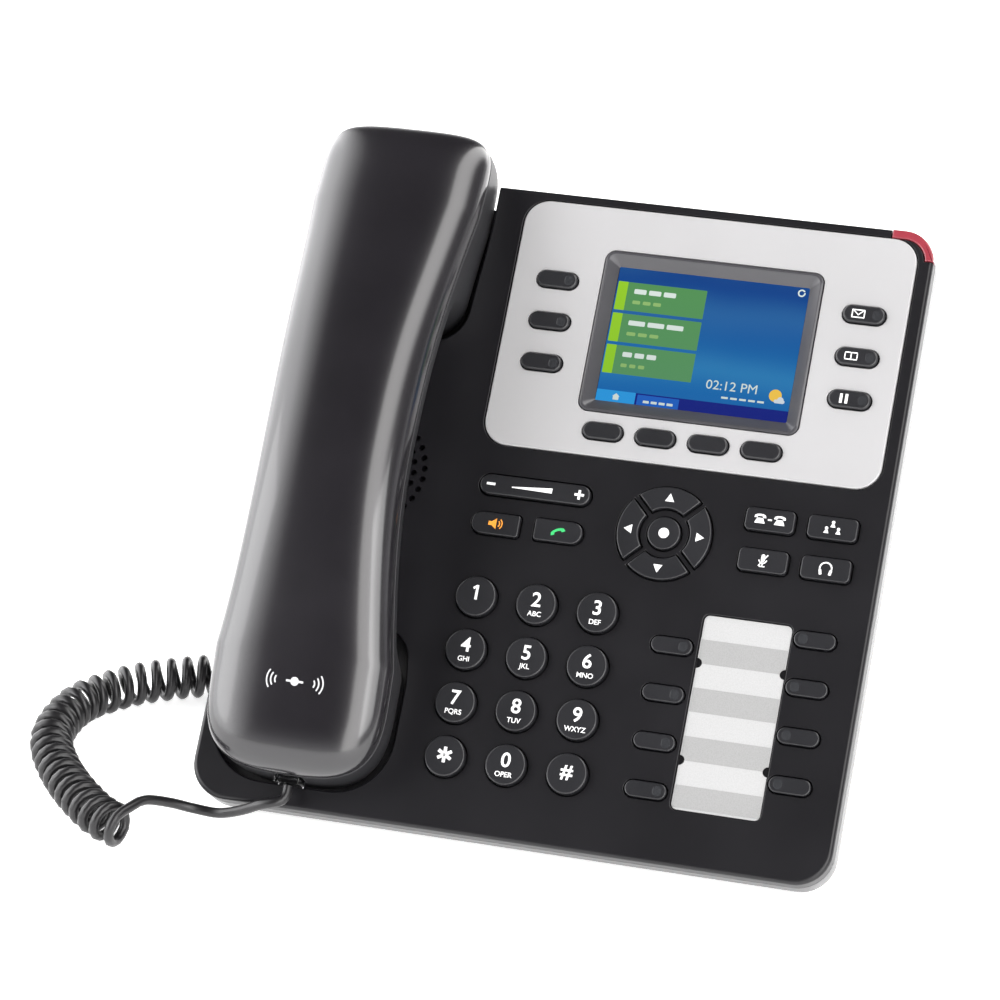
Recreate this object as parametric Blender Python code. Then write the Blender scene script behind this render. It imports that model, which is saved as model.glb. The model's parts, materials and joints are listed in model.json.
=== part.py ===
"""Desk phone: a leaning face plate with display and keys, a handset in its cradle, a stand and a curly cord.

The phone is drawn in its own face frame: x to the right, y up the face, z out of the face, with the origin
at the middle of the display. The frame leans back by TILT. The world's origin is on the desk, under the
middle of the phone. Dimensions are in millimetres and become metres where a mesh or a place is made.
"""
import math

import bmesh
import bpy
import numpy as np
from mathutils import Vector

MM = 0.001
TILT = math.radians(47.35)
COS, SIN = math.cos(TILT), math.sin(TILT)

# Base, in the face frame
RIGHT, LEFT, LEFT_UPPER = 63.8, -127.0, -124.2
TOP, BOTTOM = 41.5, -155.4
CORNERS = {"bottom_right": 10.5, "top_right": 9.5, "top_left": 8.0, "bottom_left": 11.0}
WAIST = (-72.0, -108.0)
PARTING, SIDE_DEPTH, BACK = -5.0, -12.0, -26.0
DECK, WALL, GAP = 3.0, 2.2, 0.35
BACK_INSET, BACK_INSET_TOP = 9.0, 15.0

# World placing: the face's front edge, and a heel as far back as the handset's mouth end is forward
FRONT_EDGE, HEEL, DISPLAY_HEIGHT = -72.5, 76.3, 123.5
ORIGIN = (-(RIGHT + LEFT) / 2, FRONT_EDGE - BOTTOM * COS, DISPLAY_HEIGHT)
FOOT, SOLE = 1.25, 1.55

# Display panel
PANEL = (-60.0, -38.55, 59.1, 38.5)
PANEL_TOP, PANEL_THICK, PANEL_LEDGE = 0.4, 2.0, 3.0
FRAME_SIZE, SCREEN_SIZE, MODULE_SIZE = (66.0, 50.0), (57.8, 43.4), (69.2, 50.0, 3.0)
LIGHT_START, LIGHT_END, LIGHT_WIDTH, LIGHT_DEPTH = 50.4, 32.8, 2.6, 3.4

# Keys
FLANGE, FLANGE_THICK = 0.6, 0.8
DIAL_RADIUS, DIAL_FIRST, DIAL_PITCH = 6.0, (-52.05, -85.5), (18.23, 16.06)
MEMORY_LEFT, MEMORY_RIGHT, MEMORY_PITCH = (7.67, -91.9), (48.5, -84.8), 14.3
NAV, NAV_OUTER, NAV_INNER, NAV_CENTRE = (-0.5, -59.2), 14.0, 7.6, 4.9
NAV_GAP = 1.0
ROCKER, ROCKER_SIZE, ROCKER_AXIS_Z = (-40.8, -51.1), (33.5, 6.0), -1.5
CARD = (15.6, -138.9, 41.4, -81.4)

# Handset
HANDSET_X, HANDSET_TOP, HANDSET_BOTTOM = -95.6, 52.2, -147.3
SPINE_TOP, SPINE_BOTTOM = 29.0, -121.0
GRIP_HALF, EAR_HALF, MOUTH_HALF, WAIST_Y = 22.0, 25.6, 26.9, -52.0
EAR_WIDENING, MOUTH_WIDENING = 0.0006, 0.0013
SEAM_PEAK, SEAM_DROP, SEAM_SPREAD, GRIP_Y = 24.8, 16.5, 66.0, -42.0
CROWN, END_ROUND, GRIP_DEPTH, EAR_Z, MOUTH_Z = 10.6, 14.0, 9.0, -13.5, -9.0
SHELL, CUP_GAP, CUP_CORNER = 2.2, 0.45, 9.0
EAR_START, EAR_RUN, MOUTH_START, MOUTH_RUN = -12.0, 8.0, -96.5, 8.0
EAR_RECESS = (-121.65, -9.4, -69.55)
MOUTH_LOW, MOUTH_HIGH = -148.6, -98.4
TUB_WALL, TUB_FLOOR = 1.9, 2.0
HOOK = (-96.0, 14.0)
HOOK_SIZE = (10.2, 6.2)
PLUG_SIZE = (7.65, 8.0, 6.2)
PLUG_Z = 4.2

# Stand and cord
STAND_X = (-53.4, 53.6)
STAND_UPPER, STAND_LOWER, STAND_SOLE = 9.7, -61.0, 12.0
COIL_RADIUS, WIRE_RADIUS = 6.65, 1.5
COIL_ROUTE = [
    (-108.0, -91.6, 6.65), (-112.5, -90.0, 6.65), (-118.7, -86.0, 6.65), (-126.0, -79.3, 6.65),
    (-132.5, -72.3, 6.65), (-138.9, -64.0, 6.65), (-144.3, -55.2, 6.65), (-146.9, -47.9, 6.65),
    (-147.7, -40.1, 6.65), (-147.2, -32.5, 6.65), (-145.0, -25.5, 6.65), (-141.0, -19.8, 6.65),
    (-134.7, -13.0, 6.65), (-127.0, -7.6, 6.65), (-115.1, -1.4, 6.65), (-98.0, 5.0, 6.65),
    (-78.0, 9.5, 6.65), (-56.0, 11.0, 6.65), (-34.0, 9.5, 6.65), (-14.0, 5.5, 6.65), (3.0, 0.0, 6.65),
]
TAIL_ROUTE = [
    (-105.6, -84.4, 11.4), (-103.4, -81.2, 10.6), (-98.4, -76.2, 7.4), (-92.6, -73.6, 5.0),
    (-85.0, -73.4, 4.6), (-77.4, -75.0, 7.8), (-71.6, -76.2, 11.2), (-67.6, -76.1, 12.6),
    (-65.0, -75.1, 13.2), (-64.0, -73.4, 14.45), (-64.0, -71.7, 16.27),
]
BASE_TAIL_ROUTE = [
    (8.0, 1.0, 11.6), (15.0, 0.0, 8.2), (23.0, 3.5, 3.6), (27.0, 12.0, 2.2), (24.0, 20.0, 3.4),
    (17.0, 24.5, 12.0), (12.5, 22.5, 26.0), (11.6, 14.0, 38.0), (11.6, 7.3, 45.0), (11.6, 1.5, 50.35),
]


def clear_scene():
    for item in list(bpy.data.objects):
        bpy.data.objects.remove(item, do_unlink=True)


def make_material(name, colour, roughness, metallic=0.0, alpha=1.0):
    material = bpy.data.materials.new(name)
    material.use_nodes = True
    shader = material.node_tree.nodes["Principled BSDF"]
    shader.inputs["Base Color"].default_value = (*colour, 1.0)
    shader.inputs["Roughness"].default_value = roughness
    shader.inputs["Metallic"].default_value = metallic
    shader.inputs["Alpha"].default_value = alpha
    return material


# ---------------------------------------------------------------- outlines and meshes

def rounded(corners, steps=4):
    """Closed outline through (x, y, radius) corners, with each corner turned into an arc."""
    points = []
    for i, (x, y, radius) in enumerate(corners):
        here = Vector((x, y))
        back = (Vector(corners[i - 1][:2]) - here).normalized()
        ahead = (Vector(corners[(i + 1) % len(corners)][:2]) - here).normalized()
        half = back.angle(ahead) / 2
        centre = here + (back + ahead).normalized() * radius / math.sin(half)
        run = radius / math.tan(half)
        first = here + back * run - centre
        last = here + ahead * run - centre
        start = math.atan2(first.y, first.x)
        turn = (math.atan2(last.y, last.x) - start + math.pi) % (2 * math.pi) - math.pi
        for k in range(steps + 1):
            angle = start + turn * k / steps
            points.append((centre.x + radius * math.cos(angle), centre.y + radius * math.sin(angle)))
    return [p for i, p in enumerate(points) if math.dist(p, points[i - 1]) > 1e-4]


def box_outline(x0, y0, x1, y1, radius, steps=3):
    return rounded([(x0, y0, radius), (x1, y0, radius), (x1, y1, radius), (x0, y1, radius)], steps)


def pill(width, height, grow=0.0, radius=None, steps=3):
    """Rounded key outline about its own middle, grown by grow all round."""
    half_width, half_height = width / 2 + grow, height / 2 + grow
    corner = min(half_height, (height / 2 if radius is None else radius) + grow)
    return box_outline(-half_width, -half_height, half_width, half_height, corner, steps)


def circle(radius, count=16):
    turns = [2 * math.pi * k / count for k in range(count)]
    return [(radius * math.cos(a), radius * math.sin(a)) for a in turns]


def shift(outline, x, y):
    return [(px + x, py + y) for px, py in outline]


def place_mesh(name, mesh, material, at=(0.0, 0.0, 0.0), parent=None):
    item = bpy.data.objects.new(name, mesh)
    bpy.context.scene.collection.objects.link(item)
    item.location = [v * MM for v in at]
    item.parent = parent
    if material:
        mesh.materials.append(material)
    return item


def finish_mesh(name, build):
    bmesh.ops.recalc_face_normals(build, faces=build.faces[:])
    bmesh.ops.scale(build, vec=(MM, MM, MM), verts=build.verts[:])
    mesh = bpy.data.meshes.new(name)
    build.to_mesh(mesh)
    build.free()
    return mesh


def plate_mesh(name, outer, holes, z0, z1):
    """Flat plate between z0 and z1 with an outer outline and holes."""
    build = bmesh.new()
    for loop in [outer] + list(holes):
        verts = [build.verts.new((x, y, z0)) for x, y in loop]
        for i, vert in enumerate(verts):
            build.edges.new((verts[i - 1], vert))
    bmesh.ops.triangle_fill(build, use_beauty=True, use_dissolve=False, edges=build.edges[:])
    rims = [edge for edge in build.edges if len(edge.link_faces) == 1]
    low = build.verts[:]
    high = {vert: build.verts.new((vert.co.x, vert.co.y, z1)) for vert in low}
    for face in build.faces[:]:
        build.faces.new([high[vert] for vert in face.verts])
    for edge in rims:
        a, b = edge.verts
        build.faces.new((a, b, high[b], high[a]))
    return finish_mesh(name, build)


def loft_mesh(name, rings):
    """Closed body through rings that all have the same number of points."""
    build = bmesh.new()
    loops = [[build.verts.new(p) for p in ring] for ring in rings]
    for low, high in zip(loops, loops[1:]):
        for i in range(len(low)):
            build.faces.new((low[i - 1], low[i], high[i], high[i - 1]))
    build.faces.new(loops[0])
    build.faces.new(loops[-1])
    return finish_mesh(name, build)


def ring(outline, z):
    return [(x, y, z) for x, y in outline]


def join_meshes(name, meshes):
    """One cutter mesh from several closed bodies that stay clear of each other."""
    build = bmesh.new()
    for mesh in meshes:
        build.from_mesh(mesh)
    joined = bpy.data.meshes.new(name)
    build.to_mesh(joined)
    build.free()
    return joined


def cutter(name, mesh, parent=None):
    item = place_mesh(name, mesh, None, parent=parent)
    item.hide_render = True
    item.display_type = "WIRE"
    return item


def boolean(item, other, operation="DIFFERENCE"):
    modifier = item.modifiers.new(other.name, "BOOLEAN")
    modifier.operation = operation
    modifier.solver = "EXACT"
    modifier.object = other


def in_world(y, z):
    """World (Y, Z) of a point given by its height up the face and its distance out of it."""
    return ORIGIN[1] + y * COS - z * SIN, ORIGIN[2] + y * SIN + z * COS


def side_prism(name, profile, x0, x1):
    """Prism along X from a (y, z) side profile, in world axes."""
    return loft_mesh(name, [[(x, y, z) for y, z in profile] for x in (x0, x1)])


# ---------------------------------------------------------------- base

def body_outline(inset=0.0, top_inset=None, steps=4):
    """Outline of the base, drawn in by inset, and by top_inset at its top edge."""
    top = TOP - (inset if top_inset is None else top_inset)
    upper, lower = WAIST
    shrink = 0.6 * inset
    corners = [
        (LEFT + inset, BOTTOM + inset, CORNERS["bottom_left"] - shrink),
        (RIGHT - inset, BOTTOM + inset, CORNERS["bottom_right"] - shrink),
        (RIGHT - inset, top, CORNERS["top_right"] - shrink),
        (LEFT_UPPER + inset, top, CORNERS["top_left"] - shrink),
        (LEFT_UPPER + inset, upper, 30.0),
        (LEFT + inset, lower, 30.0),
    ]
    return rounded(corners, steps)


def cup_side(y, side, grow):
    """Edge of a cradle recess beside the handset at y."""
    level = min(max(y, SPINE_BOTTOM), SPINE_TOP)
    return HANDSET_X + side * (half_width(level, 0.0) + CUP_GAP + grow)


def ear_outline(grow=0.0):
    """Recess for the ear cup, open at the base's top edge and past its top left corner."""
    low = EAR_RECESS[1] - grow
    beyond, step_y = 48.0, 29.0
    right = [(cup_side(y, 1, grow), y, 2.0) for y in (9.0, SPINE_TOP)]
    return rounded([
        (cup_side(low, -1, grow), low, 11.0 + grow),
        (cup_side(low, 1, grow), low, 11.0 + grow),
        *right,
        (right[-1][0], beyond, 0.5),
        (LEFT - 4.0, beyond, 0.5),
        (LEFT - 4.0, step_y - grow, 0.5),
        (cup_side(step_y, -1, grow), step_y - grow, 0.5),
        (cup_side(9.0, -1, grow), 9.0, 2.0),
    ], 4)


def mouth_outline(grow=0.0):
    """Recess for the mouth cup, following the handset's sides."""
    low, high = MOUTH_LOW - grow, MOUTH_HIGH + grow
    return rounded([
        (cup_side(low, -1, grow), low, 17.0 + grow),
        (cup_side(low, 1, grow), low, 17.0 + grow),
        (cup_side(-114.0, 1, grow), -114.0, 2.0),
        (cup_side(high, 1, grow), high, 9.0 + grow),
        (cup_side(high, -1, grow), high, 9.0 + grow),
        (cup_side(-114.0, -1, grow), -114.0, 2.0),
    ], 4)


def light_outline(grow=0.0):
    """Bent strip round the top right corner."""
    radius = CORNERS["top_right"]
    centre = (RIGHT - radius, TOP - radius)
    outer, inner = radius + grow, radius - LIGHT_WIDTH - grow
    steps = 6
    arc = [math.pi / 2 * k / steps for k in range(steps + 1)]
    points = [(centre[0] + outer, LIGHT_END - grow)]
    points += [(centre[0] + outer * math.cos(a), centre[1] + outer * math.sin(a)) for a in arc[1:]]
    points += [(LIGHT_START - grow, centre[1] + outer), (LIGHT_START - grow, centre[1] + inner)]
    points += [(centre[0] + inner * math.cos(a), centre[1] + inner * math.sin(a)) for a in arc[::-1][:-1]]
    points += [(centre[0] + inner, LIGHT_END - grow)]
    return points


def panel_outline(grow=0.0, inset=0.0):
    x0, y0, x1, y1 = PANEL
    edge = grow - inset
    return box_outline(x0 - edge, y0 - edge, x1 + edge, y1 + edge, 7.5 + edge, 5)


def card_outline(grow=0.0):
    x0, y0, x1, y1 = CARD
    return box_outline(x0 - grow, y0 - grow, x1 + grow, y1 + grow, 1.5 + grow)


def cradle_tubs():
    """Walls of the two cradle recesses, kept inside the base's outline."""
    _, low, right = EAR_RECESS
    ear = box_outline(LEFT_UPPER + 0.2, low - TUB_WALL, right + TUB_WALL, TOP - 3.0, 3.0)
    return (
        plate_mesh("ear_tub", ear, [], EAR_Z - GAP - TUB_FLOOR, -1.5),
        plate_mesh("mouth_tub", mouth_outline(1.2), [], MOUTH_Z - GAP - TUB_FLOOR, -1.5),
    )


def front_housing(frame, material, holes):
    """Front casing: deck, short side walls, cradle recesses and all key openings."""
    item = place_mesh("front_housing", plate_mesh("front_housing", body_outline(), [], PARTING, 0.0),
                      material, parent=frame)
    inner = plate_mesh("deck_underside", body_outline(WALL), [], PARTING - 1.0, -DECK)
    boolean(item, cutter("deck_underside", inner, frame))
    for tub in cradle_tubs():
        boolean(item, cutter(tub.name, tub, frame), "UNION")
    cuts = [plate_mesh("hole", outline, [], -DECK - 1.0, 1.0) for outline in holes]
    cuts.append(plate_mesh("hole", panel_outline(inset=PANEL_LEDGE), [], -DECK - 1.0, 1.0))
    cuts.append(plate_mesh("recess", ear_outline(), [], EAR_Z - GAP, 1.0))
    cuts.append(plate_mesh("recess", mouth_outline(), [], MOUTH_Z - GAP, 1.0))
    boolean(item, cutter("deck_openings", join_meshes("deck_openings", cuts), frame))
    x, y = HOOK
    shallow = [
        plate_mesh("recess", panel_outline(GAP), [], -PANEL_THICK + 0.05, 1.0),
        plate_mesh("recess", card_outline(0.3), [], -1.3, 1.0),
        plate_mesh("hole", shift(pill(*HOOK_SIZE, GAP, 0.8), x, y), [], EAR_Z - 4.0, EAR_Z + 1.0),
    ]
    boolean(item, cutter("deck_recesses", join_meshes("deck_recesses", shallow), frame))
    light = plate_mesh("light_recess", light_outline(0.3), [], -LIGHT_DEPTH - 0.3, 1.0)
    boolean(item, cutter("light_recess", light, frame))
    return item


def sole_cutter(name, height):
    """Everything under a level plane at the given height above the desk."""
    return cutter(name, side_prism(name, [(-120.0, -60.0), (90.0, -60.0), (90.0, height), (-120.0, height)],
                                   -150.0, 150.0))


def rear_housing(frame, material):
    """Rear casing: side walls that meet the front casing, drawn in to a flat back, with a level sole."""
    start = PARTING - 0.3
    outer = loft_mesh("rear_housing", [
        ring(body_outline(), start),
        ring(body_outline(), SIDE_DEPTH),
        ring(body_outline(BACK_INSET, BACK_INSET_TOP), BACK),
    ])
    item = place_mesh("rear_housing", outer, material, parent=frame)
    hollow = loft_mesh("rear_hollow", [
        ring(body_outline(WALL), start + 1.0),
        ring(body_outline(WALL), SIDE_DEPTH + 1.0),
        ring(body_outline(BACK_INSET + WALL, BACK_INSET_TOP + WALL), BACK + WALL),
    ])
    hollow_item = cutter("rear_hollow", hollow, frame)
    boolean(hollow_item, sole_cutter("inner_sole", SOLE + WALL))
    boolean(item, hollow_item)
    boolean(item, sole_cutter("level_sole", SOLE))
    reach = TUB_WALL + GAP
    ear = box_outline(LEFT - 4.0, EAR_RECESS[1] - reach, EAR_RECESS[2] + reach, TOP + 6.0, 2.5)
    ear_cut = plate_mesh("ear_clearance", ear, [], EAR_Z - GAP - TUB_FLOOR - 0.4, 1.0)
    boolean(item, cutter("ear_clearance", ear_cut, frame))
    jacks = [plate_mesh("jack", box_outline(x, -2.0, x + 15.4, 10.0, 0.5), [], BACK - 1.0, BACK + WALL + 1.0)
             for x in (-42.0, -20.0)]
    boolean(item, cutter("jack_openings", join_meshes("jack_openings", jacks), frame))
    return item


def display_parts(frame, materials, holes):
    """Light panel with its key openings, the screen's bevelled frame, and the screen module."""
    width, height = FRAME_SIZE
    opening = box_outline(-width / 2 - 0.3, -height / 2 - 0.3, width / 2 + 0.3, height / 2 + 0.3, 3.3)
    low = PANEL_TOP - PANEL_THICK
    place_mesh("display_surround", plate_mesh("display_surround", panel_outline(), [opening] + holes, low,
                                              PANEL_TOP), materials["silver"], parent=frame)
    clear = (SCREEN_SIZE[0], SCREEN_SIZE[1])
    rims = [
        (width, height, 3.0, low), (width, height, 3.0, PANEL_TOP),
        (width - 1.6, height - 1.6, 2.2, PANEL_TOP), (clear[0] + 0.6, clear[1] + 0.6, 0.8, -1.3),
        (clear[0], clear[1], 0.5, low), (width, height, 3.0, low),
    ]
    build = bmesh.new()
    loops = [[build.verts.new((x, y, z)) for x, y in pill(w, h, radius=r)] for w, h, r, z in rims[:-1]]
    for a, b in zip(loops, loops[1:] + loops[:1]):
        for i in range(len(a)):
            build.faces.new((a[i - 1], a[i], b[i], b[i - 1]))
    place_mesh("display_frame", finish_mesh("display_frame", build), materials["grey"], parent=frame)
    wide, tall, thick = MODULE_SIZE
    module = plate_mesh("display_module", pill(wide, tall, radius=1.0), [], low - 0.3 - thick, low - 0.3)
    place_mesh("display_module", module, materials["glass"], parent=frame)


def small_base_parts(frame, materials):
    """Message light, label card, main board and hook switch."""
    light = plate_mesh("message_light", light_outline(), [], -LIGHT_DEPTH, 0.0)
    place_mesh("message_light", light, materials["red"], parent=frame)
    card = plate_mesh("label_card", card_outline(), [], -1.0, -0.1)
    place_mesh("label_card", card, materials["paper"], parent=frame)
    board = plate_mesh("main_board", box_outline(-60.0, -146.0, 58.0, 24.0, 3.0), [], -10.6, -9.0)
    place_mesh("main_board", board, materials["board"], parent=frame)
    hook = plate_mesh("hook_switch", pill(*HOOK_SIZE, radius=0.8), [], -6.2, 0.0)
    place_mesh("hook_switch", hook, materials["key"], at=(*HOOK, EAR_Z - 0.32), parent=frame)


# ---------------------------------------------------------------- keys

def nav_segment(direction, grow=0.0):
    """One quarter of the navigation ring about the ring's middle, centred on a direction in degrees."""
    middle = math.radians(direction)
    outer, inner, gap = NAV_OUTER + grow, NAV_INNER - grow, NAV_GAP - grow
    points = []
    for radius, order in ((outer, 1), (inner, -1)):
        half = math.pi / 4 - math.asin(gap / radius)
        steps = 6 if order == 1 else 3
        for k in range(steps + 1):
            angle = middle + order * (2 * k / steps - 1) * half
            points.append((radius * math.cos(angle), radius * math.sin(angle)))
    return points


def side_key(square_side, grow=0.0):
    """Speaker and send keys: round at one end, square at the other; square_side is 1 for the right end."""
    half_width, half_height = 7.25 + grow, 3.3 + grow
    soft, hard = 3.2 + grow, 0.9 + grow
    left, right = (soft, hard) if square_side > 0 else (hard, soft)
    return rounded([(-half_width, -half_height, left), (half_width, -half_height, right),
                    (half_width, half_height, right), (-half_width, half_height, left)], 3)


def key_table():
    """Every sprung key: name, shape as a function of growth, place, height, and whether the panel holds it."""
    table = []
    for i in range(3):
        table.append((f"line_key_{i + 1}", lambda g: pill(12.4, 5.0, g), (-46.4, 13.9 - 13.0 * i), 1.5, True))
    for i, name in enumerate(("message_key", "contacts_key", "hold_key")):
        table.append((name, lambda g: pill(12.6, 5.2, g), (46.4, 13.9 - 13.1 * i), 1.5, True))
    for i in range(4):
        table.append((f"soft_key_{i + 1}", lambda g: pill(12.0, 5.0, g), (-24.2 + 15.87 * i, -31.0), 1.5, True))
    table.append(("speaker_key", lambda g: side_key(1, g), (-50.6, -63.0), 1.3, False))
    table.append(("send_key", lambda g: side_key(-1, g), (-31.6, -62.8), 1.3, False))
    for i, name in enumerate(("nav_right", "nav_up", "nav_left", "nav_down")):
        table.append((name, lambda g, turn=90 * i: nav_segment(turn, g), NAV, 1.2, False))
    table.append(("nav_ok", lambda g: circle(NAV_CENTRE + g), NAV, 1.2, False))
    for i, name in enumerate(("transfer_key", "conference_key", "mute_key", "headset_key")):
        spot = (29.7 + 18.46 * (i % 2), -51.4 - 12.23 * (i // 2))
        table.append((name, lambda g: pill(14.6, 6.8, g, 1.6), spot, 1.5, False))
    for i, mark in enumerate(("1", "2", "3", "4", "5", "6", "7", "8", "9", "star", "0", "hash")):
        spot = (DIAL_FIRST[0] + DIAL_PITCH[0] * (i % 3), DIAL_FIRST[1] - DIAL_PITCH[1] * (i // 3))
        table.append((f"dial_key_{mark}", lambda g: circle(DIAL_RADIUS + g), spot, 2.0, False))
    for i in range(8):
        x, y = (MEMORY_LEFT, MEMORY_RIGHT)[i // 4]
        table.append((f"memory_key_{i + 1}", lambda g: pill(12.3, 4.8, g), (x, y - MEMORY_PITCH * (i % 4)), 0.9,
                      False))
    return table


def key(frame, material, name, shape, spot, height, on_panel):
    """Key cap with a flange under the plate that holds it; its origin is at the cap's middle, z = 0."""
    under = (PANEL_TOP - PANEL_THICK if on_panel else -DECK) - 0.4
    rings = [
        ring(shape(FLANGE), under - FLANGE_THICK), ring(shape(FLANGE), under),
        ring(shape(0.0), under), ring(shape(0.0), height),
    ]
    return place_mesh(name, loft_mesh(name, rings), material, at=(*spot, 0.0), parent=frame)


def volume_rocker(frame, material):
    """Rocker on a pivot across its middle; its origin is on the pivot's axis."""
    top, low = 1.2 - ROCKER_AXIS_Z, -4.6 - ROCKER_AXIS_Z
    mesh = plate_mesh("volume_rocker", pill(*ROCKER_SIZE), [], low, top)
    return place_mesh("volume_rocker", mesh, material, at=(*ROCKER, ROCKER_AXIS_Z), parent=frame)


# ---------------------------------------------------------------- handset

def smooth(value, low, high):
    t = min(1.0, max(0.0, (value - low) / (high - low)))
    return t * t * (3 - 2 * t)


def seam_z(y):
    """Height of the joint between the two handset shells: an arch over the grip."""
    return SEAM_PEAK - SEAM_DROP * (1 - math.exp(-(abs(y - GRIP_Y) / SEAM_SPREAD) ** 2.4))


def half_width(y, inset):
    """Half the handset's width: narrowest at the waist, with its ends rounded off in plan."""
    widest, rate = (EAR_HALF, EAR_WIDENING) if y > WAIST_Y else (MOUTH_HALF, MOUTH_WIDENING)
    half = min(widest, GRIP_HALF + rate * (y - WAIST_Y) ** 2) - inset
    if y > SPINE_TOP:
        reach, power = (y - SPINE_TOP) / (HANDSET_TOP - inset - SPINE_TOP), 5.0
    elif y < SPINE_BOTTOM:
        reach, power = (SPINE_BOTTOM - y) / (SPINE_BOTTOM - HANDSET_BOTTOM - inset), 3.2
    else:
        return half
    return half * max(0.0, 1 - min(1.0, reach) ** power) ** (1 / power)


def lower_z(y, across, inset):
    """Lowest level of the inner shell: deep at the ear and mouth cups, which have rounded corners in plan."""
    grip = seam_z(y) - GRIP_DEPTH
    late = CUP_CORNER * across ** 4 + inset
    ear = smooth(y - late, EAR_START, EAR_START + EAR_RUN)
    mouth = smooth(-y - late, -MOUTH_START, MOUTH_RUN - MOUTH_START)
    return grip + (EAR_Z - grip) * ear + (MOUTH_Z - grip) * mouth


def rounding(past_end):
    """Fraction of the full depth left near an end of the handset, from 1 down to 0 at the end itself."""
    reach = min(max((past_end + END_ROUND) / END_ROUND, 0.0), 1.0)
    return (1 - reach ** 2.4) ** (1 / 2.4)


def shell_depth(y, across, side, inset):
    """Height of the handset's back over the seam (side 1), or depth of its front below it (side -1)."""
    if side < 0:
        return (seam_z(y) - lower_z(y, across, inset)) * rounding(y - HANDSET_TOP) - inset
    end = max(abs(y - GRIP_Y) - 60.0, 0.0) / 45.0
    height = CROWN - 2.1 * min(1.0, end) ** 3
    return height * rounding(max(y - HANDSET_TOP, HANDSET_BOTTOM - y)) - inset


def stations(inset, count_end=5, count_middle=14):
    """Places along the handset, closer together at its cups' edges and where its ends round off."""
    top, low = HANDSET_TOP - inset, HANDSET_BOTTOM + inset
    ends = [math.sin(math.pi / 2 * k / count_end) for k in range(1, count_end)] + [0.992]
    upper = [SPINE_TOP + (top - SPINE_TOP) * e for e in ends]
    lower = [SPINE_BOTTOM + (low - SPINE_BOTTOM) * e for e in ends]
    middle = list(np.linspace(SPINE_BOTTOM, SPINE_TOP, count_middle))
    middle = [y for y in middle if not EAR_START - 3 < y < EAR_START + 20 and not -118 < y < MOUTH_START + 3]
    middle += [EAR_START + inset + d for d in (0.0, 2.0, 4.0, 6.0, 8.0, 10.5, 13.5, 17.0)]
    middle += [MOUTH_START - inset - d for d in (0.0, 2.0, 4.0, 6.0, 8.0, 10.5, 13.5, 17.0)]
    return lower[::-1] + sorted(middle) + upper


def section(y, inset, side, base_drop, steps=8):
    """Closed section of a shell at y: an arch above the seam (side 1) or a trough below it (side -1)."""
    half = half_width(y, inset)
    seam = seam_z(y)
    power = 2.6 if side > 0 else 4.0
    points = [(HANDSET_X + half, y, seam - side * base_drop)] if base_drop else []
    for k in range(steps + 1):
        angle = math.pi * k / steps
        across = math.copysign(abs(math.cos(angle)) ** (2 / power), math.cos(angle))
        rise = abs(math.sin(angle)) ** (2 / power)
        depth = shell_depth(y, across, side, inset)
        points.append((HANDSET_X + half * across, y, seam + side * depth * rise))
    if base_drop:
        points.append((HANDSET_X - half, y, seam - side * base_drop))
    return points


def handset_shell(frame, name, material, side, trim):
    """Half of the handset: a hollow shell whose rim is trim away from the seam."""
    outer = [[(x, yy, z + side * trim) for x, yy, z in section(y, 0.0, side, 0.0)] for y in stations(0.0)]
    inner = [section(y, SHELL, side, 1.5) for y in stations(SHELL)]
    item = place_mesh(name, loft_mesh(name, outer), material, parent=frame)
    boolean(item, cutter(name + "_hollow", loft_mesh(name + "_hollow", inner), frame))
    return item


def handset(frame, materials):
    handset_shell(frame, "handset_outer_shell", materials["handset"], 1, 0.2)
    inner = handset_shell(frame, "handset_inner_shell", materials["handset_inner"], -1, 0.2)
    wide, _, tall = PLUG_SIZE
    socket = box_outline(-wide / 2 - GAP, -tall / 2 - GAP, wide / 2 + GAP, tall / 2 + GAP, 0.4)
    profile = [[(HANDSET_X + x, y, PLUG_Z + z) for x, z in socket] for y in (HANDSET_BOTTOM - 6.0, -138.0)]
    boolean(inner, cutter("handset_jack", loft_mesh("handset_jack", profile), frame))
    body = box_outline(-wide / 2, -tall / 2, wide / 2, tall / 2, 0.4)
    y0 = HANDSET_BOTTOM - 2.0
    rings = [[(x, y, z) for x, z in body] for y in (0.0, PLUG_SIZE[1])]
    place_mesh("handset_plug", loft_mesh("handset_plug", rings), materials["clear"],
               at=(HANDSET_X, y0, PLUG_Z), parent=frame)


# ---------------------------------------------------------------- stand, feet and cord

def stand(material):
    """Stand: two triangular cheeks joined by a rear panel with a window for the leads."""
    upper, lower = in_world(STAND_UPPER, BACK - GAP), in_world(STAND_LOWER, BACK - GAP)
    profile = [lower, (HEEL - STAND_SOLE, SOLE), (HEEL, SOLE), (HEEL, SOLE + 4.0),
               (upper[0] + 3.4, upper[1] - 1.6), upper]
    x0, x1 = STAND_X
    item = place_mesh("stand", side_prism("stand", profile, x0, x1), material)
    cheek, panel = 3.0, 3.0
    slope = (HEEL - upper[0] - 3.4) / (upper[1] - SOLE)
    front = [(-40.0, -10.0), (HEEL - panel, -10.0), (upper[0] + 3.4 - panel - slope * 10.0, upper[1] + 10.0),
             (-40.0, upper[1] + 10.0)]
    boolean(item, cutter("stand_inside", side_prism("stand_inside", front, x0 + cheek, x1 - cheek)))
    window = [(HEEL - 20.0, 38.0), (HEEL + 20.0, 38.0), (HEEL + 20.0, 72.0), (HEEL - 40.0, 72.0)]
    boolean(item, cutter("stand_window", side_prism("stand_window", window, -32.0, 22.0)))
    return item


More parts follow.
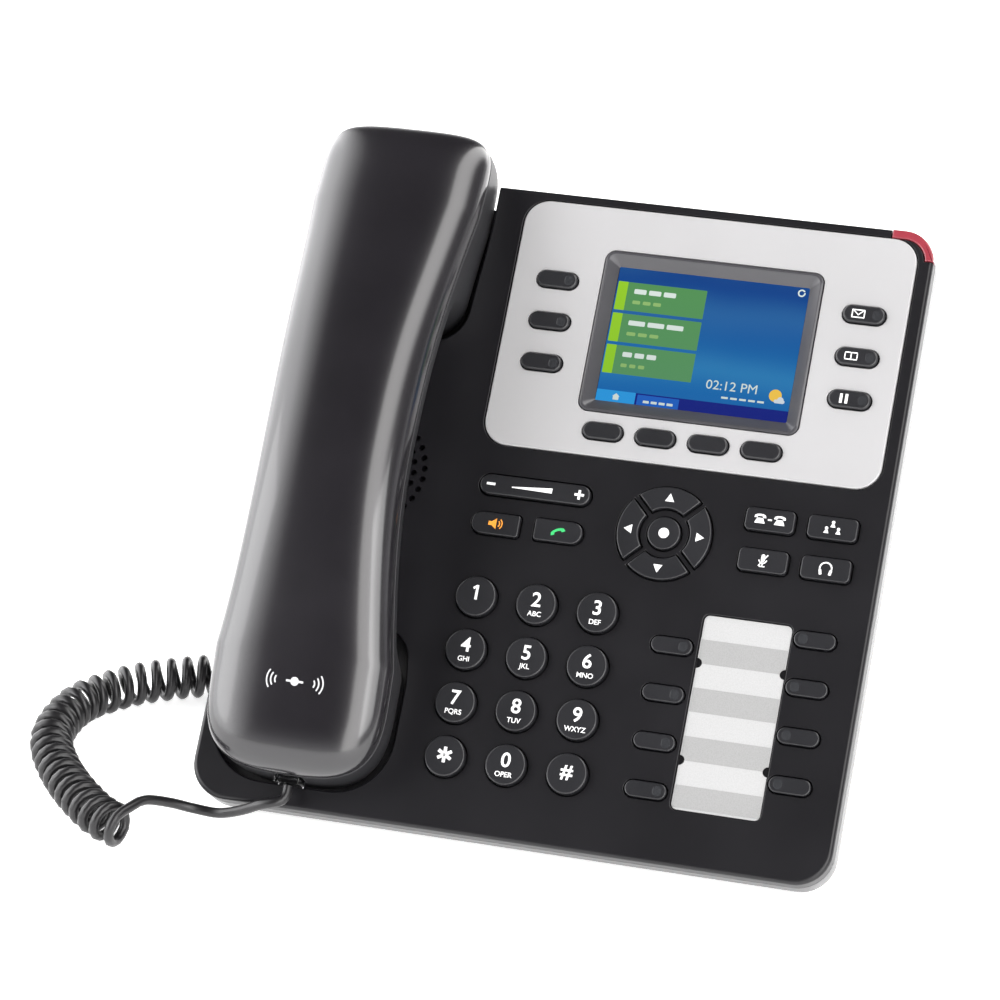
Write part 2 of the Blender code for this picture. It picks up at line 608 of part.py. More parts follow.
def feet(material):
    """Two rubber strips: one under the front sole and one under the stand."""
    front = plate_mesh("front_foot", box_outline(-74.0, -61.5, 44.0, -51.5, 2.0), [], 0.0, FOOT)
    place_mesh("front_foot", front, material)
    rear = plate_mesh("stand_foot", box_outline(STAND_X[0], HEEL - 9.0, STAND_X[1], HEEL, 1.5), [], 0.0, FOOT)
    place_mesh("stand_foot", rear, material)


def smooth_points(route, count):
    """Points spaced evenly along a smooth curve through the route's own points."""
    points = [Vector(p) for p in route]
    points = [2 * points[0] - points[1]] + points + [2 * points[-1] - points[-2]]
    dense = []
    for a, b, c, d in zip(points, points[1:], points[2:], points[3:]):
        for k in range(16):
            t = k / 16
            dense.append(0.5 * ((2 * b) + (c - a) * t + (2 * a - 5 * b + 4 * c - d) * t ** 2
                                + (3 * b - a - 3 * c + d) * t ** 3))
    dense.append(points[-2])
    travel = np.concatenate([[0.0], np.cumsum([(q - p).length for p, q in zip(dense, dense[1:])])])
    marks = np.linspace(0.0, travel[-1], count)
    flat = np.array([tuple(p) for p in dense])
    return [tuple(np.interp(m, travel, flat[:, axis]) for axis in range(3)) for m in marks]


def tube(name, route, radius, spacing, resolution, material):
    """Solid tube along a smooth route, as a bevelled curve with filled caps."""
    length = sum(math.dist(p, q) for p, q in zip(route, route[1:]))
    points = smooth_points(route, max(4, round(length / spacing)))
    curve = bpy.data.curves.new(name, "CURVE")
    curve.dimensions = "3D"
    curve.bevel_depth = radius * MM
    curve.bevel_resolution = resolution
    curve.use_fill_caps = True
    spline = curve.splines.new("POLY")
    spline.points.add(len(points) - 1)
    for point, place in zip(spline.points, points):
        point.co = (*[v * MM for v in place], 1.0)
    curve.materials.append(material)
    item = bpy.data.objects.new(name, curve)
    bpy.context.scene.collection.objects.link(item)
    return item


def cord(material):
    tube("cord_coil", COIL_ROUTE, COIL_RADIUS, 9.0, 2, material)
    tube("cord_tail_handset", TAIL_ROUTE, WIRE_RADIUS, 5.0, 2, material)
    tube("cord_tail_base", BASE_TAIL_ROUTE, WIRE_RADIUS, 6.0, 2, material)


# ---------------------------------------------------------------- the phone

def build_phone():
    clear_scene()
    materials = {
        "black": make_material("black_abs", (0.016, 0.015, 0.018), 0.42),
        "key": make_material("key_plastic", (0.028, 0.028, 0.031), 0.38),
        "silver": make_material("silver_panel", (0.74, 0.74, 0.74), 0.35, 0.15),
        "grey": make_material("screen_frame", (0.22, 0.22, 0.23), 0.3),
        "glass": make_material("screen_glass", (0.05, 0.09, 0.12), 0.1),
        "red": make_material("message_lens", (0.6, 0.05, 0.08), 0.25),
        "paper": make_material("card_paper", (0.8, 0.8, 0.8), 0.6),
        "board": make_material("circuit_board", (0.03, 0.16, 0.07), 0.5),
        "handset": make_material("handset_gloss", (0.018, 0.017, 0.02), 0.25),
        "handset_inner": make_material("handset_satin", (0.02, 0.02, 0.022), 0.4),
        "rubber": make_material("rubber", (0.02, 0.02, 0.02), 0.8),
        "clear": make_material("clear_plug", (0.5, 0.5, 0.5), 0.2),
        "cord": make_material("cord_jacket", (0.02, 0.02, 0.02), 0.45),
    }
    frame = bpy.data.objects.new("face_frame", None)
    bpy.context.scene.collection.objects.link(frame)
    frame.location = [v * MM for v in ORIGIN]
    frame.rotation_euler = (TILT, 0.0, 0.0)
    table = key_table()
    deck_holes = [shift(shape(GAP), *spot) for _, shape, spot, _, on_panel in table if not on_panel]
    deck_holes.append(shift(pill(*ROCKER_SIZE, 0.5), *ROCKER))
    panel_holes = [shift(shape(GAP), *spot) for _, shape, spot, _, on_panel in table if on_panel]
    front_housing(frame, materials["black"], deck_holes)
    rear_housing(frame, materials["black"])
    display_parts(frame, materials, panel_holes)
    small_base_parts(frame, materials)
    for name, shape, spot, height, on_panel in table:
        key(frame, materials["key"], name, shape, spot, height, on_panel)
    volume_rocker(frame, materials["key"])
    handset(frame, materials)
    stand(materials["black"])
    feet(materials["rubber"])
    cord(materials["cord"])


build_phone()
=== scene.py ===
"""Desk phone: the looks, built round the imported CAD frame.

Sizes are in millimetres in the phone's own face frame: x to the right, y up the face, z out of the face,
with the origin in the middle of the display. FACE turns them into the row frame's metres.
"""
import json
import math

import bmesh
import bpy
import numpy as np
from mathutils import Matrix, Vector
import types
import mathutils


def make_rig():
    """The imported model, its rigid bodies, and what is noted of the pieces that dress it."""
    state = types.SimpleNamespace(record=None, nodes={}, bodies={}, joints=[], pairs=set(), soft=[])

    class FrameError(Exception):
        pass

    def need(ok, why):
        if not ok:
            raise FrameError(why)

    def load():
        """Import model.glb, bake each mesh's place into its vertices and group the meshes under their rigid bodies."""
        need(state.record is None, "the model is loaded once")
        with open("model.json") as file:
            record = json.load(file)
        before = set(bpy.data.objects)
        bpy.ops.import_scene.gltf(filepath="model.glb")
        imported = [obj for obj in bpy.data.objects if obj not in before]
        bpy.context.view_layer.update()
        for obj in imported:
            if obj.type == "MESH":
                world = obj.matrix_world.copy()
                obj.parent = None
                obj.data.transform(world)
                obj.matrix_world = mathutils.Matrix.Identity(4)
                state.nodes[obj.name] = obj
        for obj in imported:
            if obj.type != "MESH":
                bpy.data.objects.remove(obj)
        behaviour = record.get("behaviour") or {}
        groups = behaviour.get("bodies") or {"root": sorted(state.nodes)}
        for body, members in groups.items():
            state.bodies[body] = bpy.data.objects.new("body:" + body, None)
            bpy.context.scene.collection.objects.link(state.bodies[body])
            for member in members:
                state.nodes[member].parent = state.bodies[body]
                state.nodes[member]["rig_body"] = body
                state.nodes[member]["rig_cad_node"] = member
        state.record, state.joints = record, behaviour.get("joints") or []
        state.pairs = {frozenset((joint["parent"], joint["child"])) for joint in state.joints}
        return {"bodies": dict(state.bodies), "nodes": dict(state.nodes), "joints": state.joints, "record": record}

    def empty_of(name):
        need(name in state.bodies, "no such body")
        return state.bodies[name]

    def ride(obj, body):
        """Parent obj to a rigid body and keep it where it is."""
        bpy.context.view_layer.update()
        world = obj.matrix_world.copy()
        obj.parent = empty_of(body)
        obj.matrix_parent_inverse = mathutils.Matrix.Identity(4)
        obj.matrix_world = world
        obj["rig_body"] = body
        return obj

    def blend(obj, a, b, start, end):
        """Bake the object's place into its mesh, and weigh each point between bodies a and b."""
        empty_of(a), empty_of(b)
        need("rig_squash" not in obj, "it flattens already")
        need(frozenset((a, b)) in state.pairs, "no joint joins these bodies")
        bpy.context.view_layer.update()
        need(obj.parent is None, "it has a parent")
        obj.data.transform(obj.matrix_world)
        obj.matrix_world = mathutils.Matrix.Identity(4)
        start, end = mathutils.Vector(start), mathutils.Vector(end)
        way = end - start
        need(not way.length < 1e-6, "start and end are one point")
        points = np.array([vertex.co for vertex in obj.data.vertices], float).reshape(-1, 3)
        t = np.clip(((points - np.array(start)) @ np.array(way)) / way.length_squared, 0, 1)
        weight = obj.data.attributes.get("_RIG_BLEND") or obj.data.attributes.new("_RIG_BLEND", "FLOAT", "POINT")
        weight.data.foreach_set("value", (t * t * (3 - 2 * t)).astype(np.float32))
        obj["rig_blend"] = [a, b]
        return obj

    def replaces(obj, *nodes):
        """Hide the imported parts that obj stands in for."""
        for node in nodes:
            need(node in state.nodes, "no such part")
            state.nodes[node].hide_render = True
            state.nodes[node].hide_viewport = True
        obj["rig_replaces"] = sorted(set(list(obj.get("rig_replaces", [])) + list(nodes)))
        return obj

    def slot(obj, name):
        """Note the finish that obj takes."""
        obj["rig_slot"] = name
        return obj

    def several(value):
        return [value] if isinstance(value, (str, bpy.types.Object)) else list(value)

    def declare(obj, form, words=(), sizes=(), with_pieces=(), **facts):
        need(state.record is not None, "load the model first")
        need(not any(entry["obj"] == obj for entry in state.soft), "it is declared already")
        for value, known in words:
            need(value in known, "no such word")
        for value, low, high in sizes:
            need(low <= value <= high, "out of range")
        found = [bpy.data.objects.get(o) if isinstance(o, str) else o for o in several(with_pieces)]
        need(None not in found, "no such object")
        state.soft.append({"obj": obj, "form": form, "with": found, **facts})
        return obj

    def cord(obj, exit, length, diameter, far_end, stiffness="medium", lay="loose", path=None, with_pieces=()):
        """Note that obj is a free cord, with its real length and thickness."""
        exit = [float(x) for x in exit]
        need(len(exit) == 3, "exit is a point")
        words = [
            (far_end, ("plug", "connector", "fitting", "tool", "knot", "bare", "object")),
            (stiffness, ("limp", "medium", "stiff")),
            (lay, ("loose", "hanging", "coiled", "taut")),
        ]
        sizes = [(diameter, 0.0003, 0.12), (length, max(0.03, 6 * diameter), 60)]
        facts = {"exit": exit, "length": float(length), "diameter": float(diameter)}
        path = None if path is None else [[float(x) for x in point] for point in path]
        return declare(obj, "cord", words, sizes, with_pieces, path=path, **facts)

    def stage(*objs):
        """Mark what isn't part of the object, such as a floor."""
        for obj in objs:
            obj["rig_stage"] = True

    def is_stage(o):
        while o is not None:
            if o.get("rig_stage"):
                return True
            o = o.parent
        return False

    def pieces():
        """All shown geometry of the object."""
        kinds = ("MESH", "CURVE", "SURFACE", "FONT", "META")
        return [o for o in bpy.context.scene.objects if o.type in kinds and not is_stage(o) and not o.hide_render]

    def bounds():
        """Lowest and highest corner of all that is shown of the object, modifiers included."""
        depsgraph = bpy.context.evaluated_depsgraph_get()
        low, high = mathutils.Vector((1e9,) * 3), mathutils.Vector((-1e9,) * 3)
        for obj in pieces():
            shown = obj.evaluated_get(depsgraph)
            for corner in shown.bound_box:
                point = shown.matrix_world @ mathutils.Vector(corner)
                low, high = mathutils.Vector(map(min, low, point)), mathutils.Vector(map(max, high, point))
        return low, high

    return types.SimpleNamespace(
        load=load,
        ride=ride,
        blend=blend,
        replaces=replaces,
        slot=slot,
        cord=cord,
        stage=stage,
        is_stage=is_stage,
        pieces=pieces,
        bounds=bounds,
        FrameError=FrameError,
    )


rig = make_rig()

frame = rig.load()
CAD_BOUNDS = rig.bounds()

MM = 0.001
SCENE = bpy.context.scene.collection.objects

# ---------------------------------------------------------------- the face frame

MODULE_TOP = -1.9
joints = {joint["name"]: joint for joint in frame["record"]["behaviour"]["joints"]}
OUT = Vector(joints["handset_lift"]["axis"]).normalized()
ACROSS = Vector((1.0, 0.0, 0.0))
UP = OUT.cross(ACROSS)


def face_matrix():
    points = [v.co for v in frame["nodes"]["display_module"].data.vertices]
    x = [p.dot(ACROSS) for p in points]
    y = [p.dot(UP) for p in points]
    z = [p.dot(OUT) for p in points]
    origin = ACROSS * (min(x) + max(x)) / 2 + UP * (min(y) + max(y)) / 2 + OUT * (max(z) - MODULE_TOP * MM)
    turn = Matrix((ACROSS, UP, OUT)).transposed().to_4x4()
    return Matrix.Translation(origin) @ turn @ Matrix.Scale(MM, 4)


FACE = face_matrix()
TO_FACE = FACE.inverted()
TILT = math.acos(OUT.z)


def node_box(node):
    """Lowest and highest corners of a CAD node in the face frame."""
    points = [TO_FACE @ v.co for v in frame["nodes"][node].data.vertices]
    low = Vector([min(p[i] for p in points) for i in range(3)])
    high = Vector([max(p[i] for p in points) for i in range(3)])
    return low, high


# ---------------------------------------------------------------- outlines and meshes

def rounded(corners, steps=6):
    """Closed outline through (x, y, radius) corners, with each corner turned into an arc."""
    points = []
    for i, (x, y, radius) in enumerate(corners):
        if not radius:
            points.append((x, y))
            continue
        here = Vector((x, y))
        back = (Vector(corners[i - 1][:2]) - here).normalized()
        ahead = (Vector(corners[(i + 1) % len(corners)][:2]) - here).normalized()
        half = back.angle(ahead) / 2
        centre = here + (back + ahead).normalized() * radius / math.sin(half)
        run = radius / math.tan(half)
        first = here + back * run - centre
        last = here + ahead * run - centre
        start = math.atan2(first.y, first.x)
        turn = (math.atan2(last.y, last.x) - start + math.pi) % (2 * math.pi) - math.pi
        for k in range(steps + 1):
            angle = start + turn * k / steps
            points.append((centre.x + radius * math.cos(angle), centre.y + radius * math.sin(angle)))
    return points


def box_outline(x0, y0, x1, y1, radius, steps=6):
    return rounded([(x0, y0, radius), (x1, y0, radius), (x1, y1, radius), (x0, y1, radius)], steps)


def pill(width, height, grow=0.0, radius=None, steps=8):
    """Rounded outline about its own middle, grown by grow all round."""
    half_width, half_height = width / 2 + grow, height / 2 + grow
    corner = min(half_height * 0.999, (height / 2 if radius is None else radius) + grow)
    return box_outline(-half_width, -half_height, half_width, half_height, max(corner, 0.02), steps)


def circle(radius, count=48):
    turns = [2 * math.pi * k / count for k in range(count)]
    return [(radius * math.cos(a), radius * math.sin(a)) for a in turns]


def shift(outline, x, y):
    return [(px + x, py + y) for px, py in outline]


def ring(outline, z):
    return [(x, y, z) for x, y in outline]


def round_over(radius, count=4):
    """(inset, drop) pairs of a rounded top edge, from the wall to the top."""
    turns = [math.pi / 2 * k / count for k in range(count + 1)]
    return [(radius * (1 - math.cos(a)), radius * (1 - math.sin(a))) for a in turns]


def loft(build, rings, cap_first=True, cap_last=True):
    """Skin through rings that all have the same number of points."""
    loops = [[build.verts.new(p) for p in points] for points in rings]
    for low, high in zip(loops, loops[1:]):
        for i in range(len(low)):
            build.faces.new((low[i - 1], low[i], high[i], high[i - 1]))
    if cap_first:
        build.faces.new(loops[0][::-1])
    if cap_last:
        build.faces.new(loops[-1])
    return loops


def plate(build, outer, holes, z0, z1):
    """Flat plate between z0 and z1 with an outer outline and holes."""
    flat = bmesh.new()
    for loop in [outer] + list(holes):
        verts = [flat.verts.new((x, y, z0)) for x, y in loop]
        for i, vert in enumerate(verts):
            flat.edges.new((verts[i - 1], vert))
    bmesh.ops.triangle_fill(flat, use_beauty=True, use_dissolve=False, edges=flat.edges[:])
    low = {v: build.verts.new(v.co) for v in flat.verts}
    high = {v: build.verts.new((v.co.x, v.co.y, z1)) for v in flat.verts}
    for face in flat.faces:
        build.faces.new([low[v] for v in face.verts][::-1])
        build.faces.new([high[v] for v in face.verts])
    for edge in flat.edges:
        if len(edge.link_faces) == 1:
            a, b = edge.verts
            build.faces.new((low[a], low[b], high[b], high[a]))
    flat.free()


def make_object(name, build, materials, angle=35.0, place=FACE):
    """Mesh object from a face-frame bmesh, shaded smooth below the given angle."""
    bmesh.ops.recalc_face_normals(build, faces=build.faces[:])
    bmesh.ops.transform(build, matrix=place, verts=build.verts[:])
    mesh = bpy.data.meshes.new(name)
    build.to_mesh(mesh)
    build.free()
    for material in materials if isinstance(materials, (list, tuple)) else [materials]:
        mesh.materials.append(material)
    mesh.shade_smooth()
    mesh.set_sharp_from_angle(angle=math.radians(angle))
    item = bpy.data.objects.new(name, mesh)
    SCENE.link(item)
    return item


def baked(item):
    """Puts the result of a piece's modifiers in place of its mesh."""
    graph = bpy.context.evaluated_depsgraph_get()
    mesh = bpy.data.meshes.new_from_object(item.evaluated_get(graph))
    item.modifiers.clear()
    item.data = mesh
    return mesh


def settle(item, angle=35.0):
    """Applies the modifiers of a piece and shades it smooth below the given angle."""
    mesh = baked(item)
    mesh.shade_smooth()
    mesh.set_sharp_from_angle(angle=math.radians(angle))


def cut(item, build, place=FACE):
    """Takes a closed face-frame body out of a piece."""
    other = make_object("cutter", build, [], place=place)
    modifier = item.modifiers.new("cut", "BOOLEAN")
    modifier.operation = "DIFFERENCE"
    modifier.solver = "EXACT"
    modifier.object = other
    settle(item)
    bpy.data.objects.remove(other, do_unlink=True)


def add_weighting(item):
    """Lets the large faces of a piece set its normals, so that flat stretches stay flat."""
    modifier = item.modifiers.new("weigh", "WEIGHTED_NORMAL")
    modifier.weight = 80
    modifier.keep_sharp = True


def add_bevel(item, width, segments, angle):
    modifier = item.modifiers.new("soften", "BEVEL")
    modifier.width = width * MM
    modifier.segments = segments
    modifier.limit_method = "ANGLE"
    modifier.angle_limit = math.radians(angle)
    return modifier


def weigh(item):
    add_weighting(item)
    baked(item)


def soften(item, width, angle=40.0):
    """Rounds the sharp edges of a piece."""
    add_bevel(item, width, 3, angle).use_clamp_overlap = False
    settle(item, 40.0)
    weigh(item)


def keep(item, body, slot, *nodes):
    """Files a finished piece: the body it rides on, its material slot and the CAD nodes it stands for."""
    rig.ride(item, body)
    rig.slot(item, slot)
    if nodes:
        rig.replaces(item, *nodes)
    return item


def lofted(name, rings, material, body, slot, *nodes, angle=35.0):
    """Finished piece skinned through rings."""
    build = bmesh.new()
    loft(build, rings)
    return keep(make_object(name, build, material, angle), body, slot, *nodes)


def plates(outlines, z0, z1):
    """Flat plates between z0 and z1, one for each outline."""
    build = bmesh.new()
    for outline in outlines:
        plate(build, outline, [], z0, z1)
    return build


def plated(name, outlines, z0, z1, material, body="base", slot="black_casing", *nodes):
    """Finished piece made of flat plates."""
    return keep(make_object(name, plates(outlines, z0, z1), material), body, slot, *nodes)


def repaint(node, material):
    """Gives a CAD node a finish and returns its object."""
    item = frame["nodes"][node]
    item.data.materials.clear()
    item.data.materials.append(material)
    return item


# ---------------------------------------------------------------- materials

def new_material(name):
    material = bpy.data.materials.new(name)
    material.use_nodes = True
    tree = material.node_tree
    shader = tree.nodes["Principled BSDF"]
    return material, tree, shader


def link(tree, source, socket, target, into):
    tree.links.new(source.outputs[socket], target.inputs[into])


def set_inputs(node, **values):
    """Sets input values; an underscore in a name stands for a space."""
    for name, value in values.items():
        node.inputs[name.replace("_", " ")].default_value = value


def face_space(tree):
    """Mapping node that gives face-frame millimetres."""
    coordinates = tree.nodes.new("ShaderNodeTexCoord")
    mapping = tree.nodes.new("ShaderNodeMapping")
    mapping.vector_type = "TEXTURE"
    set_inputs(mapping, Location=FACE.translation, Rotation=(TILT, 0.0, 0.0), Scale=(MM, MM, MM))
    link(tree, coordinates, "Object", mapping, "Vector")
    return mapping


def noise(tree, vector, scale, detail=2.0):
    node = tree.nodes.new("ShaderNodeTexNoise")
    set_inputs(node, Scale=scale, Detail=detail)
    link(tree, vector, "Vector", node, "Vector")
    return node


def ramp(tree, source, socket, stops):
    node = tree.nodes.new("ShaderNodeValToRGB")
    band = node.color_ramp
    while len(band.elements) < len(stops):
        band.elements.new(0.5)
    for element, (place, colour) in zip(band.elements, stops):
        element.position = place
        element.color = (*colour, 1.0)
    link(tree, source, socket, node, "Fac")
    return node


def spread(tree, source, low, high):
    """Maps a 0 to 1 value onto low to high."""
    node = tree.nodes.new("ShaderNodeMapRange")
    set_inputs(node, To_Min=low, To_Max=high)
    link(tree, source, 0, node, "Value")
    return node


def downward(tree, space, start, end):
    """0 at the start and 1 at the end of a stretch down the face."""
    part = tree.nodes.new("ShaderNodeSeparateXYZ")
    link(tree, space, "Vector", part, "Vector")
    node = tree.nodes.new("ShaderNodeMapRange")
    set_inputs(node, From_Min=start, From_Max=end)
    link(tree, part, "Y", node, "Value")
    return node


def bump(tree, source, shader, strength, distance):
    node = tree.nodes.new("ShaderNodeBump")
    set_inputs(node, Strength=strength, Distance=distance * MM)
    link(tree, source, 0, node, "Height")
    link(tree, node, "Normal", shader, "Normal")


def shaded(name, scale, detail, low, high, *sockets):
    """Material whose colour drifts between two (place, colour) stops from place to place."""
    material, tree, shader = new_material(name)
    space = face_space(tree)
    drift = noise(tree, space, scale, detail)
    shade = ramp(tree, drift, "Fac", [low, high])
    for socket in ("Base Color", *sockets):
        link(tree, shade, "Color", shader, socket)
    return material, tree, shader, space, drift


def dimmed(colour, factor):
    return tuple(c * factor for c in colour)


def plastic(name, colour, roughness, grain=1.6, depth=0.03, coat=0.0, specular=0.5):
    """Moulded plastic: a fine grain, a slight change of shade and gloss from place to place."""
    low, high = (0.3, dimmed(colour, 0.88)), (0.7, dimmed(colour, 1.12))
    material, tree, shader, space, broad = shaded(name, 0.035, 3.0, low, high)
    link(tree, spread(tree, broad, roughness * 0.88, roughness * 1.12), "Result", shader, "Roughness")
    set_inputs(shader, Specular_IOR_Level=specular, Coat_Weight=coat, Coat_Roughness=0.12)
    bump(tree, noise(tree, space, grain, 2.0), shader, 0.35, depth)
    return material


def silver_paint(name):
    low, high = (0.3, (0.4, 0.396, 0.4)), (0.7, (0.43, 0.426, 0.431))
    material, tree, shader, space, _ = shaded(name, 0.02, 2.0, low, high)
    flakes = tree.nodes.new("ShaderNodeTexVoronoi")
    set_inputs(flakes, Scale=6.0)
    link(tree, space, "Vector", flakes, "Vector")
    link(tree, spread(tree, flakes, 0.3, 0.42), "Result", shader, "Roughness")
    set_inputs(shader, Metallic=0.15)
    bump(tree, flakes, shader, 0.06, 0.02)
    return material


def glowing(name, colour, strength, second=None):
    """Lit picture element under the display's window; second is the colour at its lower edge."""
    material, tree, shader = new_material(name)
    space = face_space(tree)
    half = PICTURE_SIZE[1] / 2
    down = downward(tree, space, half, -half)
    shade = ramp(tree, down, "Result", [(0.0, colour), (1.0, second or dimmed(colour, 0.82))])
    link(tree, shade, "Color", shader, "Emission Color")
    set_inputs(shader, Emission_Strength=strength, Base_Color=UNLIT)
    link(tree, spread(tree, noise(tree, space, 9.0, 0.0), 0.108, 0.132), "Result", shader, "Roughness")
    return material


# Colour of print and of the label card's paper, with a painted glow: its emission makes the print brighter than the
# light falling on it, though it is no lamp.
def print_ink_with_painted_glow(name, colour, glow=0.0):
    low, high = (0.25, dimmed(colour, 0.86)), (0.6, colour)
    material, _, shader, _, _ = shaded(name, 3.0, 3.0, low, high, "Emission Color")
    set_inputs(shader, Emission_Strength=glow, Roughness=0.5)
    return material


def lens(name, colour, glow, roughness=0.2):
    """Coloured translucent moulding, a little lit from inside."""
    low, high = (0.3, dimmed(colour, 0.85)), (0.7, colour)
    material, tree, shader, _, cloud = shaded(name, 0.25, 3.0, low, high, "Emission Color")
    set_inputs(shader, Emission_Strength=glow, Roughness=roughness, Coat_Weight=0.4)
    bump(tree, cloud, shader, 0.1, 0.05)
    return material


def clear_plastic(name, tint):
    low, high = (0.3, dimmed(tint, 0.94)), (0.7, tint)
    material, _, shader, _, _ = shaded(name, 0.6, 2.0, low, high)
    set_inputs(shader, Roughness=0.06, Transmission_Weight=1.0, IOR=1.45)
    return material


UNLIT = (0.004, 0.004, 0.005, 1.0)


BLACK = plastic("black_abs", (0.0042, 0.0038, 0.0052), 0.36, 2.2, 0.012, specular=0.42)
BLACK_REAR = plastic("black_abs_rear", (0.006, 0.0056, 0.007), 0.36, 1.6, 0.02, coat=0.45, specular=0.5)
KEY = plastic("key_plastic", (0.014, 0.014, 0.016), 0.3, 3.0, 0.008, specular=0.5)
HANDSET_OUTER = plastic("handset_gloss", (0.0095, 0.0085, 0.0105), 0.24, 3.0, 0.003, coat=0.75, specular=0.5)
HANDSET_INNER = plastic("handset_satin", (0.017, 0.017, 0.019), 0.42, 2.4, 0.015, specular=0.5)
SILVER = silver_paint("silver_paint")
GREY = plastic("bezel_grey", (0.044, 0.043, 0.048), 0.3, 3.0, 0.006, specular=0.6)
# DARK also paints the shade of the handset's sound openings, as dark discs.
DARK = plastic("dark_inside", (0.006, 0.006, 0.007), 0.6, 1.5, 0.03, specular=0.3)
RED = lens("message_lens", (0.26, 0.034, 0.048), 0.12)
WINDOW = lens("key_window", (0.03, 0.031, 0.034), 0.0, 0.12)
# The inks and the card's paper below carry a painted glow from their emission; they are not lamps.
INK = print_ink_with_painted_glow("white_ink", (0.86, 0.86, 0.86), 0.12)
INK_DIM = print_ink_with_painted_glow("light_grey_ink", (0.55, 0.55, 0.56), 0.05)
INK_ORANGE = print_ink_with_painted_glow("orange_ink", (0.8, 0.29, 0.03), 0.3)
INK_GREEN = print_ink_with_painted_glow("green_ink", (0.03, 0.42, 0.12), 0.3)
PAPER_WHITE = print_ink_with_painted_glow("paper_white", (0.4, 0.4, 0.4), 0.06)
PAPER_GREY = print_ink_with_painted_glow("paper_grey", (0.285, 0.285, 0.283), 0.04)
CLEAR = clear_plastic("clear_plastic", (0.95, 0.95, 0.95))
CORD = plastic("cord_jacket", (0.008, 0.0075, 0.0085), 0.33, 2.5, 0.02, coat=0.0)
RUBBER = plastic("foot_rubber", (0.013, 0.013, 0.013), 0.75, 1.0, 0.06)
BOARD = plastic("solder_mask", (0.02, 0.13, 0.05), 0.35, 0.8, 0.03)
METAL = plastic("contact_metal", (0.75, 0.62, 0.32), 0.25, 2.0, 0.01)


# ---------------------------------------------------------------- camera, light and floor

CAMERA_PLACE = (0.26935, -1.01524, 0.61763)
CAMERA_TARGET = (-0.0193, -0.00475, 0.08275)
CAMERA_LENS = 144.49
LIGHT_DISTANCE = 1.8
SOFTBOX = (0.9, 0.7)


def make_camera():
    data = bpy.data.cameras.new("camera")
    data.lens = CAMERA_LENS
    data.sensor_width = 36.0
    camera = bpy.data.objects.new("camera", data)
    SCENE.link(camera)
    camera.location = CAMERA_PLACE
    toward = Vector(CAMERA_TARGET) - camera.location
    camera.rotation_euler = toward.to_track_quat("-Z", "Y").to_euler()
    bpy.context.scene.camera = camera


def soft_light(name, direction, power):
    """Softbox that looks at the phone from a direction."""
    data = bpy.data.lights.new(name, "AREA")
    data.shape = "RECTANGLE"
    data.size, data.size_y = SOFTBOX
    data.energy = power
    item = bpy.data.objects.new(name, data)
    SCENE.link(item)
    middle = Vector((0.0, 0.0, 0.08))
    item.location = middle + Vector(direction).normalized() * LIGHT_DISTANCE
    item.rotation_euler = (middle - item.location).to_track_quat("-Z", "Y").to_euler()


def make_world():
    """Studio surround: bright walls low down, a soft panel on the left and a long crisp one on the right."""
    world = bpy.data.worlds.new("studio")
    bpy.context.scene.world = world
    world.use_nodes = True
    tree = world.node_tree
    background = tree.nodes["Background"]
    coordinates = tree.nodes.new("ShaderNodeTexCoord")
    part = tree.nodes.new("ShaderNodeSeparateXYZ")
    link(tree, coordinates, "Generated", part, "Vector")
    across = tree.nodes.new("ShaderNodeMapRange")
    across.inputs["From Min"].default_value = -1.0
    link(tree, part, "X", across, "Value")
    panels = ramp(tree, across, "Result", [
        (0.0, (0.85, 0.85, 0.86)), (0.14, (0.85, 0.85, 0.86)),
        (0.28, (0.01, 0.01, 0.01)), (0.615, (0.008, 0.008, 0.008)),
        (0.63, (1.0, 0.99, 0.98)), (0.79, (0.85, 0.84, 0.84)), (0.87, (0.06, 0.06, 0.06)),
    ])
    walls = ramp(tree, part, "Z", [
        (0.0, (0.2, 0.2, 0.2)), (0.12, (0.17, 0.17, 0.175)),
        (0.3, (0.05, 0.05, 0.05)), (0.5, (0.006, 0.006, 0.006)),
    ])
    both = tree.nodes.new("ShaderNodeMix")
    both.data_type = "RGBA"
    both.blend_type = "LIGHTEN"
    both.inputs["Factor"].default_value = 1.0
    tree.links.new(panels.outputs["Color"], both.inputs["A"])
    tree.links.new(walls.outputs["Color"], both.inputs["B"])
    tree.links.new(both.outputs["Result"], background.inputs["Color"])
    background.inputs["Strength"].default_value = 5.0


def make_floor():
    build = bmesh.new()
    bmesh.ops.create_grid(build, x_segments=1, y_segments=1, size=6000.0)
    material, tree, shader = new_material("floor_paint")
    space = face_space(tree)
    tones = [(0.3, (0.86, 0.86, 0.86)), (0.7, (0.88, 0.88, 0.88))]
    shade = ramp(tree, noise(tree, space, 0.01), "Fac", tones)
    link(tree, shade, "Color", shader, "Base Color")
    set_inputs(shader, Roughness=0.6, Emission_Color=(1.0, 1.0, 1.0, 1.0), Emission_Strength=0.72)
    floor = make_object("floor", build, material, place=Matrix.Scale(MM, 4))
    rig.stage(floor)


def make_stage():
    make_camera()
    make_world()
    soft_light("key_light", (0.75, -0.62, 0.42), 9.0)
    soft_light("fill_light", (-0.95, -0.45, 0.35), 5.0)
    make_floor()
    bpy.context.scene.view_settings.view_transform = "Standard"


# ---------------------------------------------------------------- the cord (row frame millimetres)

